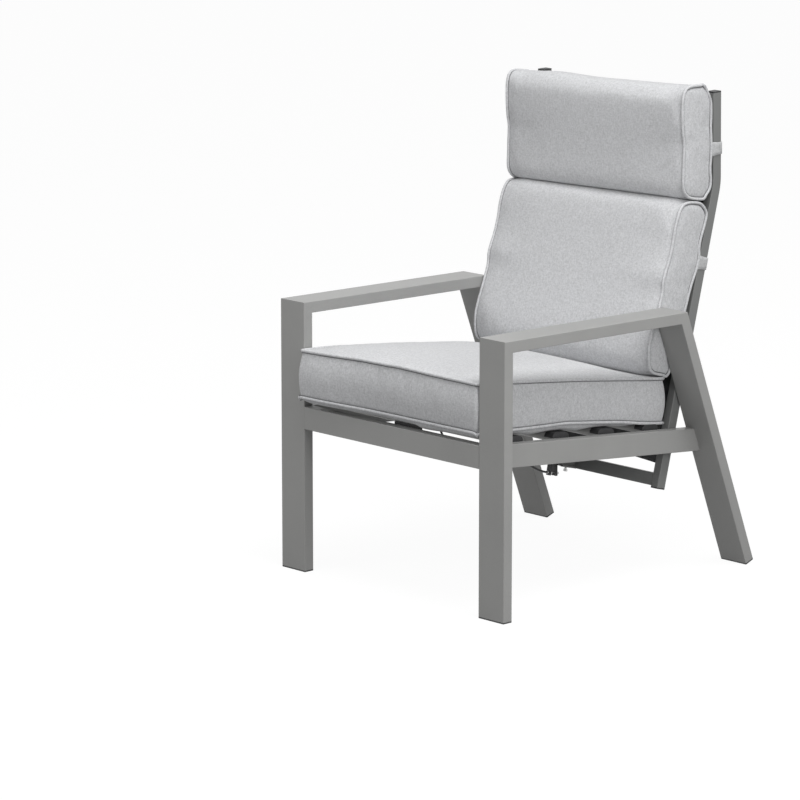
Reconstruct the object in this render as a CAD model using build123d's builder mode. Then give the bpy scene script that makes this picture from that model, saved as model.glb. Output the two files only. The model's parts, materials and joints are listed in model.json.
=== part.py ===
from build123d import *
import os
from math import cos, hypot, pi, radians, sin, tan

os.makedirs("parts", exist_ok=True)

# A reclining garden armchair, in millimetres: X across, -Y to the front, Z up from the floor.
# Left is the sitter's left, at +X. Sizes along Y count back from the front legs' front face,
# and the origin is on the floor under the middle of the chair.

# Side frames: one flat tube on each side, mitred at its two upper corners
overall_width = 692
leg_width = 75
leg_depth = 25
leg_wall = 2
tube_corner = 1.5
arm_height = 600
arm_run = 552.4
arm_drop = 7.5
rear_leg_lean = 21
foot_thickness = 3
foot_plug_depth = 12
plug_gap = 0.2

# Seat rails and slats
rail_width = 25
rail_depth = 50
rail_wall = 1.5
seat_height = 370
seat_slope = 5
slat_width = 48
slat_thickness = 20
slat_rise = 11
slat_start = 105
slat_pitch = 138
slat_count = 4
slat_plug_depth = 12

# Back frame: two bent uprights on hinges, a lower crossbar and a head rail
hinge_run = 590
back_lean = 14.3
head_lean = -1
upright_width = 20
upright_depth = 25
upright_gap = 3
upright_advance = 4
upright_drop = 109
bend_height = 564
bend_radius = 120
head_length = 200
cap_thickness = 3
cap_stub_depth = 10
crossbar_drop = 93
crossbar_height = 28
head_rail_height = 28
head_rail_place = 168
running_gap = 0.05
side_gap = 0.2

# Hinge fasteners
hinge_bolt_radius = 4
hinge_head_radius = 6.75
hinge_head_height = 4
hinge_head_taper = 20
bush_wall = 1.45
rivet_wall = 1.5
rivet_length = 14
rivet_flange = 1
rivet_flange_radius = 8
spacer_radius = 9

# Sling: dark fabric with a sewn-in rod at each side, which slides in a channel of the upright
sling_advance = 6
sling_thickness = 1.2
sling_hem_wall = 0.8
sling_rod_radius = 2.25
channel_radius = 3.2
channel_wall = 1
channel_mouth = 2.4
sling_drop = 58
sling_top = 140
sling_arch = 10

# Cushions and the bands that hold the two upper ones
cushion_overhang = 17
cushion_bulge = 5
cushion_gap = 0.5
seat_cushion_side_gap = 3
seat_cushion_rise = 26
seat_cushion_depth = 103
seat_cushion_extra_fall = 1.4
seat_cushion_under_extra_fall = 0.9
seat_cushion_hinge_gap = 17
seat_cushion_crown = 18
seat_cushion_lap = 58
belly_margin = 30
back_cushion_low = 131
back_cushion_high = 502
back_cushion_front = 114
back_cushion_crown = 14
back_cushion_roll = 18
head_cushion_low = 12
head_cushion_high = 200
head_cushion_front = 100
head_cushion_crown = 18
head_cushion_roll = 20
cushion_round = 8
band_width = 26
band_thickness = 1.5
band_gap = 0.3
band_lap = 20
back_band_place = 376
head_band_place = 65

# Gas spring and its brackets
front_pivot_run = 78
front_pivot_drop = 53.5
rear_pivot_drop = 83.6
rear_pivot_advance = 46.8
cylinder_radius = 14
cylinder_wall = 1.5
cylinder_start = 15
cylinder_end = 285
cylinder_floor = 8
gland_length = 7
spring_rod_radius = 5
piston_start = 145
piston_length = 12
piston_gap = 0.15
eye_radius = 11
eye_half = 10
pivot_bolt_radius = 4
pivot_head_radius = 7
pivot_head_height = 5
bracket_plate = 3
bracket_gap = 0.5
front_ear_drop = 8
front_ear_level = 30
rear_ear_reach = 14
slot_length = 5.4
slot_turn = 25
slot_slack = 1.2
tab_width = 40
tab_drop = 103.5
tab_thickness = 4
tab_reach = 58
tab_notch = 4
tab_screw_advance = 28
tab_screw_radius = 3
tab_screw_head = 5
tab_screw_length = 14

# Release head on the spring rod, its lever and pin
head_half = 11
head_body = 48
rod_grip = 18
head_body_half = 10
lever_set = 27.5
lever_rise = 17
lever_boss = 9
lever_half = 7
lever_thickness = 5
lever_knuckle = 5
lever_drop = 64
lever_pin_radius = 2
lever_room_front = 4.5
lever_room_rear = 1
release_pin_radius = 1.5
release_pin_bore = 14
release_pin_room = 3
release_pin_gap = 0.4
cable_arm_place = 34
cable_arm_thickness = 6
cable_arm_half = 5
cable_arm_drop = 46
cable_line_drop = 39.5
ferrule_radius = 3.5
ferrule_length = 14
ferrule_collar = 4.5
ferrule_collar_length = 2
ferrule_bore = 1.2
wire_radius = 0.75
nipple_radius = 3
nipple_half = 5
wire_slot = 3.2

# Release handle outside the right side rail, and the cable between the two
handle_pivot_run = 235
handle_pivot_rise = 2
handle_attach_drop = 22
handle_plate = 3
handle_plate_length = 50
handle_plate_drop = 60
handle_plate_rise = 12
handle_stand = 1.5
handle_thickness = 6
handle_hub = 9
handle_length = 100
handle_tilt = 8
handle_height = 14
grip_length = 62
grip_wall = 3.5
handle_pin_radius = 4
handle_lug_run = 255
handle_lug_thickness = 4
cable_radius = 2.5
cable_lead = 43
cable_cross_run = 341
cable_cross_drop = 16
cable_cross_share = 0.967
cable_dip_run = 338
cable_dip_drop = 52
cable_dip_share = 0.793
cable_under_run = 304
cable_under_drop = 80
cable_under_share = 0.598
cable_sweep_run = 268
cable_sweep_drop = 98
cable_sweep_share = 0.362
cable_turn_run = 266
cable_turn_drop = 111
cable_turn_share = 0.148
cable_join_place = 220
cable_arc_share = 0.45
clip_wall = 1.2
clip_length = 12
clip_spot = 255
clip_drop = 17.3
tail_level_place = 330
tail_end_lead = 62

# One overrun for all cuts
overrun = 2

# Directions that the frame follows
across = Vector(1, 0, 0)
rear = Vector(0, 1, 0)
up = Vector(0, 0, 1)
arm_length = hypot(arm_run, arm_drop)
arm_dir = Vector(0, arm_run, -arm_drop) / arm_length
arm_up = Vector(0, arm_drop, arm_run) / arm_length
leg_dir = Vector(0, sin(radians(rear_leg_lean)), -cos(radians(rear_leg_lean)))
leg_front = Vector(0, -cos(radians(rear_leg_lean)), -sin(radians(rear_leg_lean)))
rail_dir = Vector(0, cos(radians(seat_slope)), -sin(radians(seat_slope)))
rail_up = Vector(0, sin(radians(seat_slope)), cos(radians(seat_slope)))
back_dir = Vector(0, sin(radians(back_lean)), cos(radians(back_lean)))
back_front = Vector(0, -cos(radians(back_lean)), sin(radians(back_lean)))
head_dir = Vector(0, sin(radians(head_lean)), cos(radians(head_lean)))
head_front = Vector(0, -cos(radians(head_lean)), sin(radians(head_lean)))

# The rear leg stands on the front edge of its square end
rear_leg_length = (arm_height - arm_drop + leg_front.Z * leg_depth) / -leg_dir.Z
rear_reach = arm_run + leg_dir.Y * rear_leg_length
front_y = (cushion_overhang - rear_reach) / 2


def at(run, height, side=0):
    """A point by its run back from the front legs, its height and its side."""
    return Vector(side, front_y + run, height)


chair_side = Plane(origin=at(0, 0), x_dir=rear, z_dir=across)

# Places that several pieces share
leg_x = (overall_width - leg_width) / 2
inner_half = overall_width / 2 - leg_width
rail_x = inner_half + rail_width / 2
front_corner = at(0, arm_height)
rear_corner = at(arm_run, arm_height - arm_drop)
rail_start = at(leg_depth, seat_height) - rail_up * (rail_depth / 2)
hinge_step = (hinge_run + front_y - rail_start.Y) / rail_dir.Y
hinge = rail_start + rail_dir * hinge_step
upright_outer = inner_half - upright_gap
upright_inner = upright_outer - upright_width
upright_x = upright_outer - upright_width / 2
bend = hinge + back_dir * bend_height + back_front * upright_advance
back_side = Plane(origin=hinge, x_dir=back_dir, z_dir=across)
head_side = Plane(origin=bend, x_dir=head_dir, z_dir=across)
front_pivot_height = seat_height - front_pivot_drop
front_pivot = at(front_pivot_run, front_pivot_height)
seat_cushion_back = hinge_run - seat_cushion_hinge_gap
seat_cushion_front = seat_height + seat_cushion_rise + seat_cushion_depth
rear_pivot = hinge - back_dir * rear_pivot_drop + back_front * rear_pivot_advance
spring_span = (rear_pivot - front_pivot).length
spring_dir = (rear_pivot - front_pivot) / spring_span
spring_side = Plane(origin=front_pivot, x_dir=spring_dir, z_dir=across)
release_side = Plane(origin=rear_pivot, x_dir=spring_dir, z_dir=across)
sides = {"left": 1, "right": -1}


def slat_top(run):
    """The height of the slats' upper plane at a run back from the front legs."""
    drop = (run - leg_depth) * tan(radians(seat_slope))
    return seat_height + slat_rise / cos(radians(seat_slope)) - drop


def save(name, piece):
    """Label a finished piece and write it."""
    piece.part.label = name
    export_step(piece.part, f"parts/{name}.step")


def tube(name, start, end, x_dir, width, depth, wall, cuts=()):
    """A rectangular tube from start to end, kept on the front side of each cutting plane."""
    with BuildPart() as piece:
        with BuildSketch(Plane(origin=start, x_dir=x_dir, z_dir=end - start)):
            RectangleRounded(width, depth, tube_corner)
            Rectangle(width - 2 * wall, depth - 2 * wall, mode=Mode.SUBTRACT)
        extrude(amount=(end - start).length)
        for cut in cuts:
            split(bisect_by=cut, keep=Keep.TOP)
    save(name, piece)


def foot(name, origin, axis, x_dir):
    """A thin cap under a leg, with a plug inside the tube; axis points up the leg."""
    base = Plane(origin=origin, x_dir=x_dir, z_dir=axis)
    bore = 2 * (leg_wall + plug_gap)
    with BuildPart() as piece:
        with BuildSketch(base):
            RectangleRounded(leg_width, leg_depth, tube_corner)
        extrude(amount=foot_thickness)
        with BuildSketch(base):
            Rectangle(leg_width - bore, leg_depth - bore)
        extrude(amount=foot_thickness + foot_plug_depth)
    save(name, piece)


def rods(name, spots, direction, radius, length, bore=0):
    """Round pins or sleeves at each spot, as separate solids of one piece."""
    with BuildPart() as piece:
        for spot in spots:
            with BuildSketch(Plane(origin=spot, z_dir=direction)):
                Circle(radius)
                if bore:
                    Circle(bore, mode=Mode.SUBTRACT)
            extrude(amount=length)
    save(name, piece)


# Side frames
front_mitre = (up + arm_dir).normalized()
rear_mitre = (arm_dir + leg_dir).normalized()
leg_front_plane = Plane(origin=rear_corner + leg_front * leg_depth, z_dir=leg_front)
for side, sign in sides.items():
    shift = across * (sign * leg_x)
    leg_axis = at(leg_depth / 2, 0) + shift
    tube(
        f"front_leg_{side}",
        leg_axis + up * foot_thickness,
        leg_axis + up * (arm_height + leg_depth),
        across, leg_width, leg_depth, leg_wall,
        [Plane(origin=front_corner, z_dir=-front_mitre)],
    )
    arm_axis = front_corner - arm_up * (leg_depth / 2) + shift
    tube(
        f"armrest_{side}",
        arm_axis - arm_dir * leg_depth,
        arm_axis + arm_dir * (arm_length + leg_depth),
        across, leg_width, leg_depth, leg_wall,
        [Plane(origin=front_corner, z_dir=front_mitre), Plane(origin=rear_corner, z_dir=-rear_mitre)],
    )
    rear_axis = rear_corner + leg_front * (leg_depth / 2) + shift
    rear_end = rear_axis + leg_dir * rear_leg_length
    tube(
        f"rear_leg_{side}",
        rear_axis - leg_dir * leg_depth,
        rear_end - leg_dir * foot_thickness,
        across, leg_width, leg_depth, leg_wall,
        [Plane(origin=rear_corner, z_dir=rear_mitre)],
    )
    foot(f"front_foot_{side}", leg_axis, up, across)
    foot(f"rear_foot_{side}", rear_end, -leg_dir, across)

# Seat rails and slats
front_rail_axis = at(leg_depth / 2, seat_height - rail_depth / 2)
tube(
    "front_rail",
    front_rail_axis - across * inner_half,
    front_rail_axis + across * inner_half,
    rear, leg_depth, rail_depth, rail_wall,
)


def side_rail(side, sign):
    """A sloping rail between the legs, with a hole in its inner wall for the rivet nut."""
    start = rail_start - rail_dir * rail_depth + across * (sign * rail_x)
    with BuildPart() as piece:
        with BuildSketch(Plane(origin=start, x_dir=across, z_dir=rail_dir)):
            RectangleRounded(rail_width, rail_depth, tube_corner)
            Rectangle(rail_width - 2 * rail_wall, rail_depth - 2 * rail_wall, mode=Mode.SUBTRACT)
        extrude(amount=hinge_step + 2 * rail_depth + leg_width)
        split(bisect_by=Plane(origin=at(leg_depth, 0), z_dir=rear), keep=Keep.TOP)
        split(bisect_by=leg_front_plane, keep=Keep.TOP)
        wall_spot = hinge + across * (sign * (inner_half + rail_wall + overrun))
        with BuildSketch(Plane(origin=wall_spot, z_dir=across * -sign)):
            Circle(hinge_bolt_radius + running_gap + rivet_wall + running_gap)
        extrude(amount=rail_wall + 2 * overrun, mode=Mode.SUBTRACT)
    save(f"side_rail_{side}", piece)


for side, sign in sides.items():
    side_rail(side, sign)


def slat_end(index, sign):
    """The plane of a slat's end at one side, facing inwards."""
    run = slat_start + index * slat_pitch
    height = slat_top(run) - slat_thickness / 2 / cos(radians(seat_slope))
    return Plane(origin=at(run, height, sign * inner_half), x_dir=rail_dir, z_dir=across * -sign)


for index in range(slat_count):
    with BuildPart() as slat:
        with BuildSketch(slat_end(index, -1)):
            SlotOverall(slat_width, slat_thickness)
            SlotOverall(slat_width - 2 * rail_wall, slat_thickness - 2 * rail_wall, mode=Mode.SUBTRACT)
        extrude(amount=2 * inner_half)
    save(f"seat_slat_{index + 1}", slat)

# Plugs that close the slats' ends
slat_bore = 2 * (rail_wall + plug_gap)
with BuildPart() as slat_plugs:
    for index in range(slat_count):
        for sign in sides.values():
            with BuildSketch(slat_end(index, sign)):
                SlotOverall(slat_width - slat_bore, slat_thickness - slat_bore)
            extrude(amount=slat_plug_depth)
save("seat_slat_plugs", slat_plugs)


# Back frame
def back_path(advance, low, high, side=0):
    """The uprights' bent line, moved forward: low is below the hinge, high is above the bend."""
    mean = (back_front + head_front) / (1 + back_front.dot(head_front))
    shift = across * side
    start = hinge + back_front * (upright_advance + advance) - back_dir * low
    corner = bend + mean * advance
    end = bend + head_front * advance + head_dir * high
    FilletPolyline(start + shift, corner + shift, end + shift, radius=bend_radius - advance)


def back_section(advance, low, side=0):
    """The plane square to the bent line at its low end."""
    start = hinge + back_front * (upright_advance + advance) - back_dir * low
    return Plane(origin=start + across * side, x_dir=across, z_dir=back_dir)


channel_inset = channel_radius + channel_wall
bush_radius = hinge_bolt_radius + running_gap + bush_wall


def upright(side, sign):
    """A bent upright with a channel for the sling's edge and a hole for the hinge bush."""
    inner = -sign * upright_width / 2
    bead = inner + sign * channel_inset
    with BuildPart() as piece:
        with BuildLine():
            back_path(0, upright_drop, head_length, sign * upright_x)
        with BuildSketch(back_section(0, upright_drop, sign * upright_x)):
            RectangleRounded(upright_width, upright_depth, tube_corner)
            bore_width = upright_width - 2 * rail_wall
            Rectangle(bore_width, upright_depth - 2 * rail_wall, mode=Mode.SUBTRACT)
            with Locations((bead, -sling_advance)):
                Circle(channel_radius + channel_wall)
                Circle(channel_radius, mode=Mode.SUBTRACT)
            with Locations((inner, -sling_advance)):
                Rectangle(2 * channel_wall + 2 * overrun, channel_mouth, mode=Mode.SUBTRACT)
        sweep()
        with BuildSketch(back_side.offset(sign * upright_x)):
            Circle(bush_radius + running_gap)
        extrude(amount=upright_width / 2 + overrun, both=True, mode=Mode.SUBTRACT)
    save(f"upright_{side}", piece)


for side, sign in sides.items():
    upright(side, sign)


def caps(name, base):
    """A cap on each upright's end with a stub in the tube; the base plane points into the tube."""
    stub_width = upright_width - 2 * (channel_inset + channel_wall + rail_wall)
    stub_depth = upright_depth - 2 * (rail_wall + plug_gap)
    with BuildPart() as piece:
        for sign in sides.values():
            spot = Plane(origin=base.origin + across * (sign * upright_x), x_dir=across, z_dir=base.z_dir)
            stub_x = sign * (upright_width / 2 - rail_wall - plug_gap - stub_width / 2)
            with BuildSketch(spot):
                RectangleRounded(upright_width, upright_depth, tube_corner)
            extrude(amount=-cap_thickness)
            with BuildSketch(spot):
                with Locations((stub_x, 0)):
                    Rectangle(stub_width, stub_depth)
            extrude(amount=cap_stub_depth)
    save(name, piece)


caps("upright_lower_caps", back_section(0, upright_drop))
top_end = bend + head_dir * head_length
caps("upright_top_caps", Plane(origin=top_end, x_dir=across, z_dir=-head_dir))

crossbar_axis = hinge + back_front * upright_advance - back_dir * crossbar_drop
tube(
    "lower_crossbar",
    crossbar_axis - across * upright_inner,
    crossbar_axis + across * upright_inner,
    back_front, upright_depth, crossbar_height, rail_wall,
)
head_rail_axis = bend + head_dir * head_rail_place
tube(
    "head_rail",
    head_rail_axis - across * upright_inner,
    head_rail_axis + across * upright_inner,
    head_front, upright_depth, head_rail_height, rail_wall,
)

# Sling
bead_x = upright_inner + channel_inset
hem_radius = sling_rod_radius + running_gap + sling_hem_wall
with BuildPart() as sling:
    with BuildLine():
        back_path(sling_advance, sling_drop, sling_top)
    with BuildSketch(back_section(sling_advance, sling_drop)):
        Rectangle(2 * bead_x, sling_thickness)
        with Locations((bead_x, 0), (-bead_x, 0)):
            Circle(hem_radius)
        with Locations((bead_x, 0), (-bead_x, 0)):
            Circle(sling_rod_radius + running_gap, mode=Mode.SUBTRACT)
    sweep()
    sling_foot = hinge + back_front * (upright_advance + sling_advance) - back_dir * sling_drop
    with BuildSketch(Plane(origin=sling_foot, x_dir=across, z_dir=back_front)):
        with BuildLine():
            ThreePointArc((-upright_inner, 0), (0, sling_arch), (upright_inner, 0))
            Line((upright_inner, 0), (-upright_inner, 0))
        make_face()
    extrude(amount=channel_radius, both=True, mode=Mode.SUBTRACT)
save("sling", sling)

with BuildPart() as sling_rods:
    for sign in sides.values():
        with BuildLine() as rod_line:
            back_path(sling_advance, sling_drop, sling_top, sign * bead_x)
        with BuildSketch(back_section(sling_advance, sling_drop, sign * bead_x)):
            Circle(sling_rod_radius)
        sweep(path=rod_line.wire())
save("sling_rods", sling_rods)

# Hinges: a bolt through each upright into a rivet nut in the rail's inner wall
rivet_radius = hinge_bolt_radius + running_gap + rivet_wall
with BuildPart() as hinge_bolts:
    for sign in sides.values():
        out = across * sign
        head_face = hinge + out * (upright_inner - side_gap)
        with BuildSketch(Plane(origin=head_face, z_dir=-out)):
            Circle(hinge_head_radius)
        extrude(amount=hinge_head_height, taper=hinge_head_taper)
        with BuildSketch(Plane(origin=head_face, z_dir=out)):
            Circle(hinge_bolt_radius)
        extrude(amount=inner_half + rivet_length - upright_inner)
save("hinge_bolts", hinge_bolts)

with BuildPart() as rivet_nuts:
    for sign in sides.values():
        out = across * sign
        rail_face = hinge + out * inner_half
        with BuildSketch(Plane(origin=rail_face, z_dir=-out)):
            Circle(rivet_flange_radius)
            Circle(hinge_bolt_radius + running_gap, mode=Mode.SUBTRACT)
        extrude(amount=rivet_flange)
        with BuildSketch(Plane(origin=rail_face, z_dir=out)):
            Circle(rivet_radius)
            Circle(hinge_bolt_radius + running_gap, mode=Mode.SUBTRACT)
        extrude(amount=rivet_length)
save("hinge_rivet_nuts", rivet_nuts)

spacer_length = upright_gap - rivet_flange - side_gap
spacer_x = upright_outer + side_gap + spacer_length / 2
spacer_spots = [hinge + across * (sign * spacer_x) for sign in sides.values()]
bush_spots = [hinge + across * (sign * upright_x) for sign in sides.values()]


def sleeves(name, spots, radius, bore, length):
    """A sleeve across the chair, centred on each spot."""
    with BuildPart() as piece:
        for spot in spots:
            with BuildSketch(Plane(origin=spot, z_dir=across)):
                Circle(radius)
                Circle(bore, mode=Mode.SUBTRACT)
            extrude(amount=length / 2, both=True)
    save(name, piece)


sleeves("hinge_spacers", spacer_spots, spacer_radius, hinge_bolt_radius + running_gap, spacer_length)
sleeves("hinge_bushes", bush_spots, bush_radius, hinge_bolt_radius + running_gap, upright_width)

# Cushions, lofted through side profiles that grow from the round of each side to the middle
side_shares = (-1, -0.98, -0.88, -0.7, -0.4, 0, 0.4, 0.7, 0.88, 0.98, 1)
least_fullness_share = 0.1


def cushion(name, side, half_width, outline):
    """Loft a cushion's outline through its side shares; the outline takes fullness and inset."""
    with BuildPart() as pad:
        for share in side_shares:
            with BuildSketch(side.offset(share * half_width)):
                with BuildLine():
                    fullness = least_fullness_share + (1 - least_fullness_share) * (1 - share * share)
                    outline(fullness, cushion_round if abs(share) == 1 else 0)
                make_face()
        loft(ruled=True)
    save(name, pad)


def seat_outline(fullness, inset):
    """The seat cushion's side view: crowned top, bulged front, belly down on the slats."""
    front = cushion_bulge - cushion_overhang + inset
    back = seat_cushion_back - inset
    lap = seat_cushion_back - seat_cushion_lap
    bulge = cushion_bulge * (1 + fullness) / 2
    crown = seat_cushion_crown * (1 + 3 * fullness) / 4

    def top(run):
        fall = tan(radians(seat_slope + seat_cushion_extra_fall))
        return seat_cushion_front - inset - (run - front) * fall

    def bottom(run):
        seam = seat_cushion_front - seat_cushion_depth + inset
        return seam - (run - front) * tan(radians(seat_slope + seat_cushion_under_extra_fall))

    def belly(run):
        return run, bottom(run) + fullness * (slat_top(run) + cushion_gap - bottom(run))

    ThreePointArc(
        (front, bottom(front)), (front - bulge, (bottom(front) + top(front)) / 2), (front, top(front))
    )
    ThreePointArc(
        (front, top(front)), ((front + lap) / 2, (top(front) + top(lap)) / 2 + crown), (lap, top(lap))
    )
    Line((lap, top(lap)), (back, top(back)))
    ThreePointArc(
        (back, top(back)), (back + bulge / 2, (top(back) + bottom(back)) / 2), (back, bottom(back))
    )
    Line((back, bottom(back)), belly(back - belly_margin))
    Line(belly(back - belly_margin), belly(front + belly_margin))
    Line(belly(front + belly_margin), (front, bottom(front)))


cushion("seat_cushion", chair_side, inner_half - seat_cushion_side_gap, seat_outline)

cushion_back = upright_depth / 2 + band_gap + band_thickness + band_gap


def back_outline(fullness, inset):
    """The back cushion's side view, on the uprights: flat behind, rolled over above and below."""
    rear_face = upright_advance + cushion_back + inset
    front = back_cushion_front - inset
    low = back_cushion_low + inset
    high = back_cushion_high - inset
    roll = back_cushion_roll
    crown = back_cushion_crown * (1 + fullness) / 2
    ThreePointArc((high, rear_face), (high + roll, (rear_face + front) / 2), (high, front - roll / 2))
    ThreePointArc((high, front - roll / 2), ((low + high) / 2, front + crown), (low + roll, front))
    ThreePointArc((low + roll, front), (low + roll / 4, front - roll / 2), (low, (rear_face + front) / 2))
    ThreePointArc((low, (rear_face + front) / 2), (low + roll / 8, rear_face + roll), (low + roll, rear_face))
    Line((low + roll, rear_face), (high, rear_face))


cushion("back_cushion", back_side, upright_outer, back_outline)


def head_outline(fullness, inset):
    """The head cushion's side view, square to the head part of the uprights."""
    rear_face = cushion_back + inset
    front = head_cushion_front - inset
    low = inset - head_cushion_low
    high = head_cushion_high - inset
    roll = head_cushion_roll
    crown = head_cushion_crown * (2 + fullness) / 3
    ThreePointArc((high, rear_face), (high + roll, (rear_face + front) / 2), (high + roll / 2, front))
    ThreePointArc((high + roll / 2, front), ((low + high) / 2, front + crown), (low, front))
    ThreePointArc((low, front), (low - roll / 2, (rear_face + front) / 2), (low + roll, rear_face))
    Line((low + roll, rear_face), (high, rear_face))


cushion("head_cushion", head_side, upright_outer, head_outline)


def band(name, side):
    """An elastic band from the cushion round the outer side of both uprights and across behind."""
    inner_x = upright_outer + band_gap
    inner_y = upright_depth / 2 + band_gap
    lap = upright_outer - band_lap
    with BuildPart() as piece:
        with BuildSketch(side):
            Rectangle(2 * (inner_x + band_thickness), 2 * (inner_y + band_thickness))
            Rectangle(2 * inner_x, 2 * inner_y, mode=Mode.SUBTRACT)
            with Locations((0, -inner_y)):
                Rectangle(2 * lap, 2 * (band_thickness + overrun), mode=Mode.SUBTRACT)
        extrude(amount=band_width)
    save(name, piece)


back_band_plane = Plane(
    origin=hinge + back_front * upright_advance + back_dir * back_band_place, x_dir=across, z_dir=back_dir
)
band("back_cushion_band", back_band_plane)
head_band_plane = Plane(origin=bend + head_dir * head_band_place, x_dir=across, z_dir=head_dir)
band("head_cushion_band", head_band_plane)

# Front bracket of the gas spring, welded behind the front rail
bolt_hole = pivot_bolt_radius + running_gap
ear_inner = eye_half + bracket_gap
front_ear_top = seat_height - front_ear_drop
front_ear_low = seat_height - rail_depth
with BuildPart() as front_bracket:
    with BuildSketch(chair_side.offset(ear_inner), chair_side.offset(-ear_inner - bracket_plate)):
        with BuildLine():
            Polyline(
                (leg_depth, front_ear_low),
                (leg_depth, front_ear_top),
                (leg_depth + front_ear_level, front_ear_top),
                (front_pivot_run + eye_radius, front_pivot_height + eye_radius),
                (front_pivot_run + eye_radius, front_pivot_height),
                (front_pivot_run, front_pivot_height - eye_radius),
                close=True,
            )
        make_face()
        with Locations((front_pivot_run, front_pivot_height)):
            Circle(eye_radius)
        with Locations((front_pivot_run, front_pivot_height)):
            Circle(bolt_hole, mode=Mode.SUBTRACT)
    extrude(amount=bracket_plate)
    with BuildSketch(chair_side.offset(-ear_inner)):
        with BuildLine():
            Polyline(
                (leg_depth, front_ear_low),
                (leg_depth, front_ear_top),
                (leg_depth + bracket_plate, front_ear_top),
                (leg_depth + bracket_plate, front_ear_low),
                close=True,
            )
        make_face()
    extrude(amount=2 * ear_inner)
save("front_spring_bracket", front_bracket)

# Rear bracket: a notched tab under the crossbar with an ear at each side of the release head
rear_ear_inner = head_half + bracket_gap
ear_end = rear_ear_inner + bracket_plate
slot_lean = Vector(cos(radians(slot_turn)), -sin(radians(slot_turn)))
pivot_spot = Vector(-rear_pivot_drop, rear_pivot_advance)
crossbar_face = upright_advance + upright_depth / 2
with BuildPart() as rear_bracket:
    with BuildSketch(back_side.offset(rear_ear_inner), back_side.offset(-ear_end)):
        with BuildLine():
            Polyline(
                (-tab_drop - tab_thickness, crossbar_face),
                (-rear_pivot_drop, crossbar_face),
                (-rear_pivot_drop + rear_ear_reach, rear_pivot_advance - rear_ear_reach / 2),
                (-rear_pivot_drop + rear_ear_reach, rear_pivot_advance + rear_ear_reach / 2),
                (-rear_pivot_drop, tab_reach),
                (-tab_drop - tab_thickness, tab_reach),
                close=True,
            )
        make_face()
        slot_half = pivot_bolt_radius + slot_slack
        with Locations((-rear_pivot_drop, rear_pivot_advance)):
            Circle(slot_half, mode=Mode.SUBTRACT)
        slot_end = pivot_spot + slot_lean * slot_length
        with Locations((slot_end.X, slot_end.Y)):
            Circle(slot_half, mode=Mode.SUBTRACT)
        slot_mid = pivot_spot + slot_lean * (slot_length / 2)
        with Locations(Location((slot_mid.X, slot_mid.Y, 0), (0, 0, -slot_turn))):
            Rectangle(slot_length, 2 * slot_half, mode=Mode.SUBTRACT)
    extrude(amount=bracket_plate)
    tab_plane = Plane(origin=hinge - back_dir * tab_drop, x_dir=across, z_dir=-back_dir)
    with BuildSketch(tab_plane):
        with Locations((0, (crossbar_face + tab_reach) / 2)):
            Rectangle(tab_width, tab_reach - crossbar_face)
        notch_start = rear_pivot_advance - tab_notch
        with Locations((0, (notch_start + tab_reach + overrun) / 2)):
            Rectangle(2 * rear_ear_inner, tab_reach + overrun - notch_start, mode=Mode.SUBTRACT)
        with Locations((0, tab_screw_advance)):
            Circle(tab_screw_radius + running_gap, mode=Mode.SUBTRACT)
    extrude(amount=tab_thickness)
save("rear_spring_bracket", rear_bracket)

screw_spot = hinge + back_front * tab_screw_advance - back_dir * tab_drop
with BuildPart() as tab_screw:
    with BuildSketch(Plane(origin=screw_spot + back_dir * tab_screw_head, z_dir=-back_dir)):
        Circle(tab_screw_radius)
    extrude(amount=tab_screw_length + tab_screw_head)
    with BuildSketch(Plane(origin=screw_spot - back_dir * tab_screw_length, z_dir=back_dir)):
        RegularPolygon(tab_screw_head, 6)
    extrude(amount=tab_screw_head)
    with BuildSketch(Plane(origin=screw_spot, z_dir=back_dir)):
        RegularPolygon(tab_screw_head, 6)
    extrude(amount=tab_screw_head)
save("tab_screw", tab_screw)

# Gas spring, along its own axis from the front pivot
with BuildPart() as cylinder:
    with BuildSketch(spring_side):
        Circle(eye_radius)
        with Locations((cylinder_start / 2, 0)):
            Rectangle(cylinder_start + overrun, eye_radius)
    extrude(amount=eye_half, both=True)
    tube_start = front_pivot + spring_dir * cylinder_start
    with BuildSketch(Plane(origin=tube_start, x_dir=across, z_dir=spring_dir)):
        Circle(cylinder_radius)
    extrude(amount=cylinder_end - cylinder_start)
    with BuildSketch(Plane(origin=tube_start + spring_dir * cylinder_floor, x_dir=across, z_dir=spring_dir)):
        Circle(cylinder_radius - cylinder_wall)
    extrude(amount=cylinder_end - cylinder_start, mode=Mode.SUBTRACT)
    with BuildSketch(spring_side):
        Circle(bolt_hole)
    extrude(amount=eye_half + overrun, both=True, mode=Mode.SUBTRACT)
save("spring_cylinder", cylinder)


def spring_plane(place, drop=0):
    """A plane square to the spring, at a place along it from the front pivot."""
    lower = spring_side.y_dir * -drop
    return Plane(origin=front_pivot + spring_dir * place + lower, x_dir=across, z_dir=spring_dir)


def ring(name, plane, radius, length, bore=0):
    """A round piece along the spring, with a bore when one is given."""
    with BuildPart() as piece:
        with BuildSketch(plane):
            Circle(radius)
            if bore:
                Circle(bore, mode=Mode.SUBTRACT)
        extrude(amount=length)
    save(name, piece)


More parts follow.
